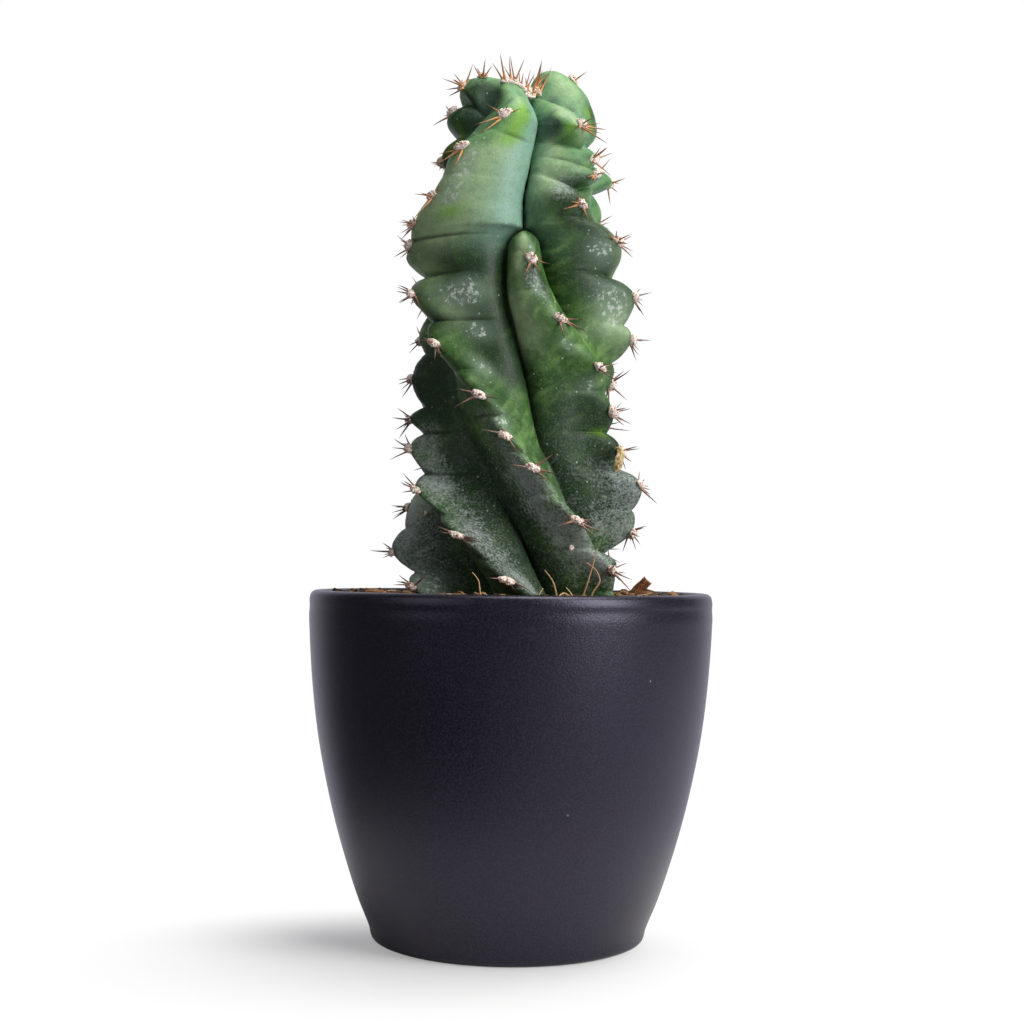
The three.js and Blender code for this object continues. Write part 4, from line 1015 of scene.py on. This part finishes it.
def epidermis(stem):
    """Waxy cactus skin, grown: green through a thin grey-blue bloom, corky dust low down, satin where it is young, with
    painted shade in creases, hollows and grooves and painted highlights where lobes face the light.
    """
    def surface(tree, place):
        share = {n: add(tree, "Attribute", out="Fac", attribute_name=n)
                 for n in ("young", "crease", "dust", "glaucous", "flush", "fleck", "pale", "deep", "swirl")}
        # Patchiness of the green, 18 mm and 4 mm across
        wide = add(tree, "TexNoise", {"Vector": place, "Scale": 55, "Detail": 4, "Roughness": 0.55})
        patch = add(tree, "TexNoise", {"Vector": place, "Scale": 240, "Detail": 5, "Roughness": 0.65})
        # Stomata and wax grain, 0.5 mm across, drawn coarser than life so that they show
        dots = add(tree, "TexNoise", {"Vector": place, "Scale": 1900, "Detail": 3, "Roughness": 0.7})
        deep = add(tree, "MapRange", {0: wide, 1: 0.35, 2: 0.65})
        green = add(tree, "Mix", {0: deep, 6: stem.shade_green, 7: stem.mature_green}, **TINTS)
        green = add(tree, "Mix", {0: share["young"], 6: green, 7: stem.young_green}, **TINTS)
        wax = add(tree, "MapRange", {0: patch, 1: 0.3, 2: 0.7, 3: 0.5, 4: 0.9})
        mottle = add(tree, "MapRange", {0: patch, 1: 0.35, 2: 0.65, 3: 0.72, 4: 1.2})
        pale, dark = (add(tree, "Math", {0: share[n], 1: mottle}, operation="MULTIPLY", use_clamp=True)
                      for n in ("pale", "deep"))
        # Each layer over the ones before it: its mask, strength and colour
        for mask, strength, tint in (
            (add(tree, "MapRange", {0: patch, 1: 0.48, 2: 0.7}), 0.34, "#8CAE66"),
            (add(tree, "MapRange", {0: patch, 1: 0.5, 2: 0.33}), 0.3, "#27451F"),
            (add(tree, "MapRange", {0: share["swirl"], 1: 0.55, 2: 0.8}), 0.5, "#2A5022"),
            (add(tree, "MapRange", {0: share["swirl"], 1: 0.45, 2: 0.15}), 0.4, "#88AE60"),
            # Deep green, mostly painted shade in hollows, grooves and under lobes
            (dark, 0.92, "#182D1A"),
            # Pale waxy green, partly a painted highlight where lobes face the light
            (pale, 0.72, "#AEC896"),
            # Blue-grey wax by the grooves, partly a painted bluish highlight by the front groove
            (add(tree, "Math", {0: wax, 1: share["glaucous"]}, operation="MULTIPLY"), 0.9, stem.bloom_blue),
            (share["flush"], 0.8, "#78AA2C"),
            (add(tree, "MapRange", {0: dots, 1: 0.55, 2: 0.75, 3: 0.0, 4: 0.28}), 1.0, "#A4C088"),
            (add(tree, "MapRange", {0: dots, 1: 0.46, 2: 0.3, 3: 0.0, 4: 0.42}), 1.0, "#1F3519"),
        ):
            cover = add(tree, "Math", {0: mask, 1: strength}, operation="MULTIPLY")
            green = add(tree, "Mix", {0: cover, 6: green, 7: tint}, **TINTS)
        # Corky dust: breaks up into grains of 0.5 to 1 mm where it thins out
        speckle = add(tree, "TexNoise", {"Vector": place, "Scale": 1100, "Detail": 6, "Roughness": 0.85})
        grain = add(tree, "Math", {0: speckle, 1: 4.4, 2: patch}, operation="MULTIPLY_ADD")
        cover = add(tree, "Math", {0: share["dust"], 1: 0.75, 2: grain}, operation="MULTIPLY_ADD")
        cover = add(tree, "MapRange", {0: cover, 1: 2.8, 2: 3.75, 3: 0.0, 4: 0.95})
        cover = add(tree, "Math", {0: cover, 1: add(tree, "MapRange", {0: share["dust"], 1: 0.0, 2: 0.25})},
                    operation="MULTIPLY")
        green = add(tree, "Mix", {0: cover, 6: green, 7: stem.dust_grey}, **TINTS)
        # Dried white scabs, 0.5 to 3 mm across, on a thin pale haze, and single corky points on all of the skin
        haze = add(tree, "Math", {0: share["fleck"], 1: 0.4}, operation="MULTIPLY")
        green = add(tree, "Mix", {0: haze, 6: green, 7: "#94AA94"}, **TINTS)
        scab = add(tree, "TexNoise", {"Vector": place, "Scale": 520, "Detail": 6, "Roughness": 0.72})
        scab = add(tree, "Math", {0: share["fleck"], 1: 0.2, 2: scab}, operation="MULTIPLY_ADD")
        scab = add(tree, "MapRange", {0: scab, 1: 0.7, 2: 0.76, 3: 0.0, 4: 0.7})
        point = add(tree, "TexVoronoi", {"Vector": place, "Scale": 380}, out=None)
        small = add(tree, "MapRange", {0: point.outputs["Distance"], 1: 0.17, 2: 0.08})
        few = add(tree, "MapRange", {0: point.outputs["Color"], 1: 0.74, 2: 0.76, 3: 0.0, 4: 0.6})
        point = add(tree, "Math", {0: small, 1: few}, operation="MULTIPLY")
        scab = add(tree, "Math", {0: scab, 1: point}, operation="MAXIMUM")
        green = add(tree, "Mix", {0: scab, 6: green, 7: "#CBD5C6"}, **TINTS)
        # Painted shade in the creases along the notches
        shade = add(tree, "MapRange", {0: share["crease"], 1: 0.05, 2: 0.8, 3: 0.0, 4: 0.6})
        colour = add(tree, "Mix", {0: shade, 6: green, 7: "#1B2A16"}, **TINTS)
        # Relief: grain of the wax on the slow unevenness of the skin
        relief = add(tree, "Bump", {"Height": patch, "Distance": 0.5 * MM, "Strength": 0.5})
        relief = add(tree, "Bump", {"Height": dots, "Distance": 0.08 * MM, "Strength": 0.6, "Normal": relief})
        dull = add(tree, "MapRange", {0: cover, 1: 0.0, 2: 0.8, 3: 0.46, 4: 0.85})
        return {"Base Color": colour, "Roughness": dull, "Normal": relief, "IOR": 1.45, "Specular IOR Level": 0.29}
    return finish("waxy_cereus_epidermis", surface)


def areole_felt(stem):
    """Areole wool, grown as felt: cream tufts, pinkish brown between them, partly brownish down and partly painted
    shade in the hollows.
    """
    def surface(tree, place):
        # Tufts of wool 0.7 mm across, coarser than its hairs so that they show
        tuft = add(tree, "TexNoise", {"Vector": place, "Scale": 1400, "Detail": 3, "Roughness": 0.6})
        # Darker pinkish brown where the tufts are low: brownish down, and painted shade in the hollows between tufts
        depth = add(tree, "MapRange", {0: tuft, 1: 0.36, 2: 0.52})
        colour = add(tree, "Mix", {0: depth, 6: "#A8745A", 7: stem.wool}, **TINTS)
        relief = add(tree, "Bump", {"Height": tuft, "Distance": 0.35 * MM, "Strength": 0.8})
        return {"Base Color": colour, "Roughness": 0.92, "Normal": relief, "Specular IOR Level": 0.2}
    return finish("areole_felt", surface)


def horn(stem):
    """Spine horn: smooth and hard, tan at the base and near black at the tip, amber on young growth."""
    def surface(tree, place):
        along = add(tree, "Attribute", out="Fac", attribute_name="along")
        young = add(tree, "Attribute", out="Fac", attribute_name="young")
        old = add(tree, "Mix", {0: add(tree, "MapRange", {0: along, 1: 0.0, 2: 0.8}), 6: stem.spine_base,
                                7: stem.spine_tip}, **TINTS)
        new = add(tree, "Mix", {0: add(tree, "MapRange", {0: along, 1: 0.15, 2: 0.95}), 6: "#E6A250",
                                7: "#5E2010"}, **TINTS)
        colour = add(tree, "Mix", {0: young, 6: old, 7: new}, **TINTS)
        # Paler stretches of about 1 mm
        streak = add(tree, "TexNoise", {"Vector": place, "Scale": 900, "Detail": 1})
        colour = add(tree, "Mix", {0: add(tree, "MapRange", {0: streak, 1: 0.45, 2: 0.75, 3: 0.0, 4: 0.35}), 6: colour,
                                   7: "#CDA07A"}, **TINTS)
        return {"Base Color": colour, "Roughness": 0.42, "IOR": 1.54}
    return finish("spine_horn", surface)


def peat(soil):
    """Peat and bark dust, damp and pressed in by hand: near black brown, crumbly and dull."""
    def surface(tree, place):
        # Crumbs of 2.4 mm and finer
        crumb = add(tree, "TexNoise", {"Vector": place, "Scale": 420, "Detail": 6, "Roughness": 0.7})
        colour = add(tree, "Mix", {0: add(tree, "MapRange", {0: crumb, 1: 0.35, 2: 0.7}), 6: "#1C130E",
                                   7: soil.peat}, **TINTS)
        relief = add(tree, "Bump", {"Height": crumb, "Distance": 1.2 * MM, "Strength": 0.9})
        return {"Base Color": colour, "Roughness": 0.95, "Normal": relief, "Specular IOR Level": 0.25}
    return finish("damp_peat", surface)


def bark(soil):
    """Milled pine bark: flat chips, dark outside and tan where they split."""
    def surface(tree, place):
        tone = add(tree, "Attribute", out="Fac", attribute_name="tone")
        # Corky layers 1.4 mm apart, over the tone of the chip
        split = add(tree, "TexNoise", {"Vector": place, "Scale": 700, "Detail": 4, "Roughness": 0.6})
        mixed = add(tree, "Math", {0: split, 1: 0.5, 2: tone}, operation="MULTIPLY_ADD")
        colour = add(tree, "Mix", {0: add(tree, "MapRange", {0: mixed, 1: 0.3, 2: 1.35}), 6: soil.bark_dark,
                                   7: soil.bark_pale}, **TINTS)
        relief = add(tree, "Bump", {"Height": split, "Distance": 0.5 * MM, "Strength": 0.8})
        return {"Base Color": colour, "Roughness": 0.88, "Normal": relief, "Specular IOR Level": 0.3}
    return finish("milled_pine_bark", surface)


def straw(soil):
    """Dry rootlets: straw-coloured, a little glossy, browner on some."""
    def surface(tree, place):
        tone = add(tree, "Attribute", out="Fac", attribute_name="tone")
        # Darker stretches of 2 mm
        band = add(tree, "TexNoise", {"Vector": place, "Scale": 500, "Detail": 2})
        mixed = add(tree, "Math", {0: band, 1: 0.4, 2: tone}, operation="MULTIPLY_ADD")
        colour = add(tree, "Mix", {0: add(tree, "MapRange", {0: mixed, 1: 0.2, 2: 1.3}), 6: "#4A2F1E",
                                   7: soil.straw}, **TINTS)
        return {"Base Color": colour, "Roughness": 0.6, "IOR": 1.5}
    return finish("dry_rootlet_straw", surface)


def twig():
    """Broken twig: furrowed brown bark along it, pale torn wood at the top."""
    def surface(tree, place):
        torn = add(tree, "Attribute", out="Fac", attribute_name="torn")
        # Fibres 0.6 mm across and four times as long, drawn upright
        run = add(tree, "Mapping", {"Vector": place, "Rotation": (0, 0.89, 0), "Scale": (1, 1, 0.25)})
        fibre = add(tree, "TexNoise", {"Vector": run, "Scale": 1600, "Detail": 3, "Roughness": 0.65})
        furrow = add(tree, "MapRange", {0: fibre, 1: 0.35, 2: 0.65})
        colour = add(tree, "Mix", {0: furrow, 6: "#26150D", 7: "#8E5C38"}, **TINTS)
        colour = add(tree, "Mix", {0: torn, 6: colour, 7: "#8E623A"}, **TINTS)
        relief = add(tree, "Bump", {"Height": fibre, "Distance": 0.4 * MM, "Strength": 0.9})
        return {"Base Color": colour, "Roughness": 0.85, "Normal": relief, "Specular IOR Level": 0.3}
    return finish("torn_bark_twig", surface)


def parchment():
    """Dried flower remnant: thin, yellowish and crumpled like parchment."""
    def surface(tree, place):
        # Crumples of 1 mm
        fold = add(tree, "TexNoise", {"Vector": place, "Scale": 900, "Detail": 3})
        colour = add(tree, "Mix", {0: add(tree, "MapRange", {0: fold, 1: 0.35, 2: 0.65}), 6: "#8E6A38",
                                   7: "#E2CF9C"}, **TINTS)
        relief = add(tree, "Bump", {"Height": fold, "Distance": 0.4 * MM, "Strength": 0.8})
        return {"Base Color": colour, "Roughness": 0.7, "Normal": relief}
    return finish("dried_flower_parchment", surface)


def card(stage):
    """White card on the table: matt, with a barely visible tooth."""
    def surface(tree, place):
        # Tooth of 1 mm, coarser than a real card's so that it shows
        tooth = add(tree, "TexNoise", {"Vector": place, "Scale": 900, "Detail": 2})
        relief = add(tree, "Bump", {"Height": tooth, "Distance": 0.02 * MM, "Strength": 0.2})
        # The card ends softly in the white of the studio: 0.2 m out for the light, nearer for the eye, to which its
        # rim glows white, though not on the left, where the shadow falls
        seen = add(tree, "LightPath", out="Is Camera Ray")
        nearer = add(tree, "Mapping", {"Vector": place, "Location": (0.05, 0.085, 0), "Scale": (1.45, 1.9, 1)})
        edge, rim = (add(tree, "MapRange", {0: add(tree, "VectorMath", {0: way}, out="Value", operation="LENGTH"),
                                            1: 0.07, 2: 0.2, 3: high, 4: low}, interpolation_type="SMOOTHSTEP")
                     for way, high, low in ((place, 1.0, 0.0), (nearer, 0.3, 1.0)))
        glow = add(tree, "Math", {0: rim, 1: seen}, operation="MULTIPLY")
        whole = add(tree, "Math", {0: edge, 1: seen}, operation="MAXIMUM")
        colour = add(tree, "Mix", {0: glow, 6: stage.floor, 7: "#000000"}, **TINTS)
        return {"Base Color": colour, "Roughness": 0.9, "Normal": relief, "Specular IOR Level": 0.1,
                "Alpha": whole, "Emission Color": "#FFFFFF", "Emission Strength": glow}
    return finish("white_card", surface)


# What a user would change

def colour_of(name, description, colour):
    """Setting of one colour, given as sRGB hex."""
    return bpy.props.FloatVectorProperty(name=name, description=description, default=linear(colour), subtype="COLOR",
                                         size=3, min=0, max=1)


def number_of(name, description, value, low, high, **more):
    """Setting of one number between two ends."""
    return bpy.props.FloatProperty(name=name, description=description, default=value, min=low, max=high, **more)


def length_of(name, description, size, low, high):
    """Setting of one length, given in millimetres."""
    return number_of(name, description, size * MM, low * MM, high * MM, precision=5, unit="LENGTH")


class CereusPot(bpy.types.PropertyGroup):
    """Finish and fineness of the pot"""

    glaze: colour_of("Glaze", "Main colour of the pot's matt coat", "#0A080E")
    glaze_cloud: colour_of("Glaze cloud", "Colour that the coat drifts to in places", "#100E16")
    dullness: number_of("Dullness", "Roughness of the coat", 0.33, 0.1, 1, subtype="FACTOR")
    columns: bpy.props.IntProperty(name="Columns", description="Facets round the pot", default=192, min=48, max=384)


class CereusStem(bpy.types.PropertyGroup):
    """Colours of the stem, and sizes of its areoles and spines"""

    young_green: colour_of("Young green", "Skin near the growing tip", "#6A9A68")
    mature_green: colour_of("Mature green", "Skin lower down", "#446C2E")
    shade_green: colour_of("Deep green", "Darker patches of the skin", "#294820")
    bloom_blue: colour_of("Blue bloom", "Wax along the grooves", "#84AAA0")
    dust_grey: colour_of("Grey dust", "Corky bloom on the lower ribs", "#ABB3AE")
    wool: colour_of("Wool", "Tufts of the areoles", "#F6E9DC")
    spine_base: colour_of("Spine base", "Colour of a spine where it leaves the wool", "#B08270")
    spine_tip: colour_of("Spine tip", "Colour of a spine's tip", "#2B1713")
    wool_radius: length_of("Wool radius", "Radius of an areole's cushion", 2.25, 1, 4)
    longest_spine: length_of("Longest spine", "Longest spine where none is measured", 13, 2, 20)
    spine_radius: length_of("Spine radius", "Radius of a spine at its base", 0.42, 0.1, 1)


class CereusBed(bpy.types.PropertyGroup):
    """Colours of the bed and amount of bark on it"""

    peat: colour_of("Peat", "Lighter crumbs of the peat", "#4B3627")
    bark_dark: colour_of("Dark bark", "Outside of the bark chips", "#2E1D14")
    bark_pale: colour_of("Pale bark", "Split faces of the bark chips", "#9B7450")
    straw: colour_of("Straw", "Dry rootlets and fibres", "#CFA878")
    chips: bpy.props.IntProperty(name="Chips", description="Bark chips strewn before the stem's place is cleared",
                                 default=900, min=0, max=2000)
    longest_chip: length_of("Longest chip", "Length of the longest bark chip", 8, 2, 15)


class CereusStage(bpy.types.PropertyGroup):
    """Floor, camera and light"""

    floor: colour_of("Floor", "Colour of the card under the pot", "#F4F3F1")
    distance: number_of("Distance", "Camera's distance from the pot's axis", 0.619, 0.2, 5, unit="LENGTH")
    eye_height: number_of("Height", "Camera's height over the floor", 0.134, 0, 2, unit="LENGTH")
    pitch: number_of("Pitch", "How far the camera looks up", np.radians(1.68), -1.5, 1.5, subtype="ANGLE")
    roll: number_of("Roll", "Camera's turn about its line of sight", np.radians(0.66), -1.5, 1.5, subtype="ANGLE")
    lens: number_of("Lens", "Focal length on a sensor 36 mm wide, in millimetres", 60.4, 10, 300)
    ambient: number_of("Ambient light", "Strength of the light from all around", 0.115, 0, 5)
    backdrop: number_of("Backdrop", "Strength of the white wall behind the object", 1.0, 0, 5)
    key: number_of("Key light", "Power of the large light on the right, in watts", 20.5, 0, 500)


# Making the pieces

class CEREUS_OT_pot(bpy.types.Operator):
    """Turns the pot: wall, rolled lip and foot in one closed body"""

    bl_idname = "mesh.cereus_pot"
    bl_label = "Pot"

    def execute(self, context):
        own = context.scene.cereus_pot
        profile = [[0, 0], *POT_OUTSIDE, *POT_INSIDE, [0, WALL]]
        put("pot_shell", [turned_patch(profile, own.columns)], stoneware(own), "pot_ceramic", "pot")
        return {"FINISHED"}


class CEREUS_OT_bed(bpy.types.Operator):
    """Fills the pot with peat, strews bark chips and crumbs on it, and lays the dry rootlets"""

    bl_idname = "mesh.cereus_bed"
    bl_label = "Bed"

    def execute(self, context):
        own = context.scene.cereus_bed
        put("peat_bed", [bed_patch()], peat(own), "bark_soil", "soil")
        generator = np.random.default_rng(BED_SEED)
        x, y = scattered(own.chips, generator, 1.5)
        size = generator.uniform(0.25, 1, len(x)) ** 1.6
        breadth, depth = (size * generator.uniform(low, high, len(x)) for low, high in ((0.35, 0.7), (0.14, 0.3)))
        squash = np.stack([size, breadth, depth], -1)
        half = own.longest_chip / MM / 2
        inside = np.minimum(1, CHIP_EDGE / (np.hypot(x, y) + size * half))
        x, y = x * inside, y * inside
        level = bed_height(x, y) + depth * half * 0.6 + generator.uniform(-0.3, 0.9, len(x))
        chips = pebbles(np.stack([x, y, level], -1), np.full(len(x), half), generator, 8, 3, squash, 0.55, 0.16)
        x, y = scattered(CRUMBS, generator, 0.6)
        centre = np.stack([x, y, bed_height(x, y) + 0.1], -1)
        crumbs = pebbles(centre, generator.uniform(0.3, 0.9, len(x)), generator, 5, 2, None, 0.8, 0.3)
        put("bark_chips", [chips, crumbs], bark(own), "bark_soil", smooth=False)
        put("rootlets", rootlet_patches(generator), straw(own), "bark_soil")
        return {"FINISHED"}


class CEREUS_OT_stick(bpy.types.Operator):
    """Stands the broken bark stick in the bed"""

    bl_idname = "mesh.cereus_stick"
    bl_label = "Bark stick"

    def execute(self, context):
        put("bark_twig", [stick_patch()], twig(), "dry_bark", "bark_stick")
        return {"FINISHED"}


class CEREUS_OT_stem(bpy.types.Operator):
    """Grows the stem's skin with its ribs, tubercles, creases and the short rib"""

    bl_idname = "mesh.cereus_stem"
    bl_label = "Stem"

    def execute(self, context):
        put("stem_skin", [stem_patch()], epidermis(context.scene.cereus_stem), "cactus_skin", "stem")
        return {"FINISHED"}


class CEREUS_OT_areoles(bpy.types.Operator):
    """Sets the woolly areoles and their spines on the crests, and the tuft on the growing tip"""

    bl_idname = "mesh.cereus_areoles"
    bl_label = "Areoles and spines"

    def execute(self, context):
        own = context.scene.cereus_stem
        generator = np.random.default_rng(AREOLE_SEED)
        found = all_seats()
        point, out, across, up, _, height = found
        size = own.wool_radius / MM * generator.uniform(0.85, 1.12, len(point)) * np.where(height > SHOULDER, 0.9, 1)
        wool = wool_patches(point, out, across, up, size, generator)
        east, north, upright = np.eye(3)[:, None]
        tips = np.array(NEWEST)
        wool += wool_patches(tips, upright, east, north, generator.uniform(1.3, 1.9, len(tips)), generator)
        bare = np.array(BARE)
        away = unit((bare - [AXIS_X, 0, 0]) * [1, 1, 0])
        wool += wool_patches(bare, away, np.cross(upright, away), upright, np.full(len(bare), 0.8), generator)
        put("areole_wool", wool, areole_felt(own), "cactus_skin")
        behind = np.random.default_rng(HIDDEN_SEED)
        root, way, length, seat, hidden = spine_ways(found, generator, behind, own.longest_spine / MM)
        # Spines are young from 225 mm up, and quite so 60 mm higher
        amber = np.concatenate([generator.uniform(0.6, 1, len(seat) - hidden), behind.uniform(0.6, 1, hidden)])
        young = np.clip((height[seat] - 225) / 60, 0, 1) * amber
        tuft = tip_spines(tips, 2, generator)
        root, way, length = (np.concatenate(both) for both in zip((root, way, length), tuft))
        young = np.concatenate([young, generator.uniform(0.5, 1, len(tuft[0]))])
        thickness = own.spine_radius / MM * np.clip(0.75 + length / 30, 0.8, 1.15)
        thickness = thickness * generator.uniform(0.9, 1.1, len(length))
        bend = generator.normal(0, 0.05, (len(length), 3))
        put("spines", [spine_patch(root, way, length, thickness, bend, young)], horn(own), "cactus_skin")
        put("dried_flower", [flower_patch()], parchment(), "cactus_skin")
        return {"FINISHED"}


class CEREUS_OT_stage(bpy.types.Operator):
    """Lays the white card, and sets the camera and the soft lights"""

    bl_idname = "scene.cereus_stage"
    bl_label = "Stage"

    def execute(self, context):
        own = context.scene.cereus_stage
        side = np.linspace(-FLOOR_REACH, FLOOR_REACH, 25)
        x, y = np.meshgrid(side, side)
        put("floor", [lattice(np.stack([x, y, 0 * x - 0.05], -1), wrap=False)], card(own), None)
        lens = bpy.data.cameras.new("camera")
        lens.lens, lens.sensor_width = own.lens, 36
        lens.clip_start, lens.clip_end = 0.01, 50
        right, ahead = np.array([1.0, 0, 0]), np.array([0, np.cos(own.pitch), np.sin(own.pitch)])
        upward = np.cross(right, ahead)
        cos, sin = np.cos(own.roll), np.sin(own.roll)
        context.scene.camera = stand("camera", lens, cos * right + sin * upward, cos * upward - sin * right, -ahead,
                                     [0, -own.distance, own.eye_height])
        # Place, width, height and power: a large soft light on the right, a top light and a weak fill on the left
        for name, place, width, height, power in (
            ("key_light", (1.02, -0.81, 0.7), 0.75, 1.15, own.key),
            ("top_light", (0.3, -0.05, 1.55), 0.9, 0.9, 0.75 * own.key),
            ("fill_light", (-1.05, -0.95, 0.75), 0.9, 0.9, 0.13 * own.key),
        ):
            lamp = bpy.data.lights.new(name, "AREA")
            lamp.shape, lamp.size, lamp.size_y, lamp.energy = "RECTANGLE", width, height, power
            back = unit(np.array(place) - LAMPS_FACE)
            flat = unit(np.cross([0, 0.001, 1.0], back))
            stand(name, lamp, flat, np.cross(back, flat), back, place)
        world = context.scene.world or bpy.data.worlds.new("studio")
        context.scene.world = world
        world.use_nodes = True
        tree = world.node_tree
        tree.nodes.clear()
        way = add(tree, "SeparateXYZ", {0: add(tree, "TexCoord", out="Generated")}, out=None).outputs
        glow = add(tree, "MapRange", {0: way["Y"], 1: 0.45, 2: 0.95, 3: own.ambient, 4: own.backdrop},
                   interpolation_type="SMOOTHSTEP")
        # The table goes on beyond the card, brightest on the side of the key light
        right = add(tree, "MapRange", {0: way["X"], 1: -0.4, 2: 0.9, 3: 0.15, 4: 1.0})
        below = add(tree, "MapRange", {0: way["Z"], 1: 0.0, 2: -0.15})
        table = add(tree, "Math", {0: right, 1: below}, operation="MULTIPLY")
        glow = add(tree, "Math", {0: glow, 1: table}, operation="MAXIMUM")
        around = add(tree, "Background", {"Color": "#EDEBFA", "Strength": glow})
        behind = add(tree, "Background", {"Color": "#FFFFFF", "Strength": 1.0})
        seen = add(tree, "LightPath", out="Is Camera Ray")
        add(tree, "OutputWorld", {"Surface": add(tree, "MixShader", {0: seen, 1: around, 2: behind})}, out=None)
        context.scene.view_settings.view_transform = "Standard"
        return {"FINISHED"}


class CEREUS_PT_panel(bpy.types.Panel):
    """Sizes, colours and one button a piece"""

    bl_idname = "CEREUS_PT_panel"
    bl_label = "Potted spiral cereus"
    bl_space_type = "VIEW_3D"
    bl_region_type = "UI"
    bl_category = "Cereus"

    def draw(self, context):
        for group, operators in GROUPS.items():
            box = self.layout.box()
            own = getattr(context.scene, group)
            for name in type(own).__annotations__:
                box.prop(own, name)
            for operator in operators:
                box.operator(operator.bl_idname)


GROUPS = {
    "cereus_pot": (CEREUS_OT_pot,),
    "cereus_bed": (CEREUS_OT_bed, CEREUS_OT_stick),
    "cereus_stem": (CEREUS_OT_stem, CEREUS_OT_areoles),
    "cereus_stage": (CEREUS_OT_stage,),
}
SETTINGS = {"cereus_pot": CereusPot, "cereus_bed": CereusBed, "cereus_stem": CereusStem, "cereus_stage": CereusStage}
CLASSES = (*SETTINGS.values(), *(operator for group in GROUPS.values() for operator in group), CEREUS_PT_panel)


def register():
    """Makes the classes and the settings known to Blender."""
    for kind in CLASSES:
        bpy.utils.register_class(kind)
    for name, kind in SETTINGS.items():
        setattr(bpy.types.Scene, name, bpy.props.PointerProperty(type=kind))


def unregister():
    """Takes the settings and the classes out again."""
    for name in SETTINGS:
        delattr(bpy.types.Scene, name)
    for kind in reversed(CLASSES):
        bpy.utils.unregister_class(kind)


def main():
    """Makes the stage and every piece."""
    register()
    bpy.ops.scene.cereus_stage()
    bpy.ops.mesh.cereus_pot()
    bpy.ops.mesh.cereus_bed()
    bpy.ops.mesh.cereus_stick()
    bpy.ops.mesh.cereus_stem()
    bpy.ops.mesh.cereus_areoles()


if __name__ == "__main__":
    main()
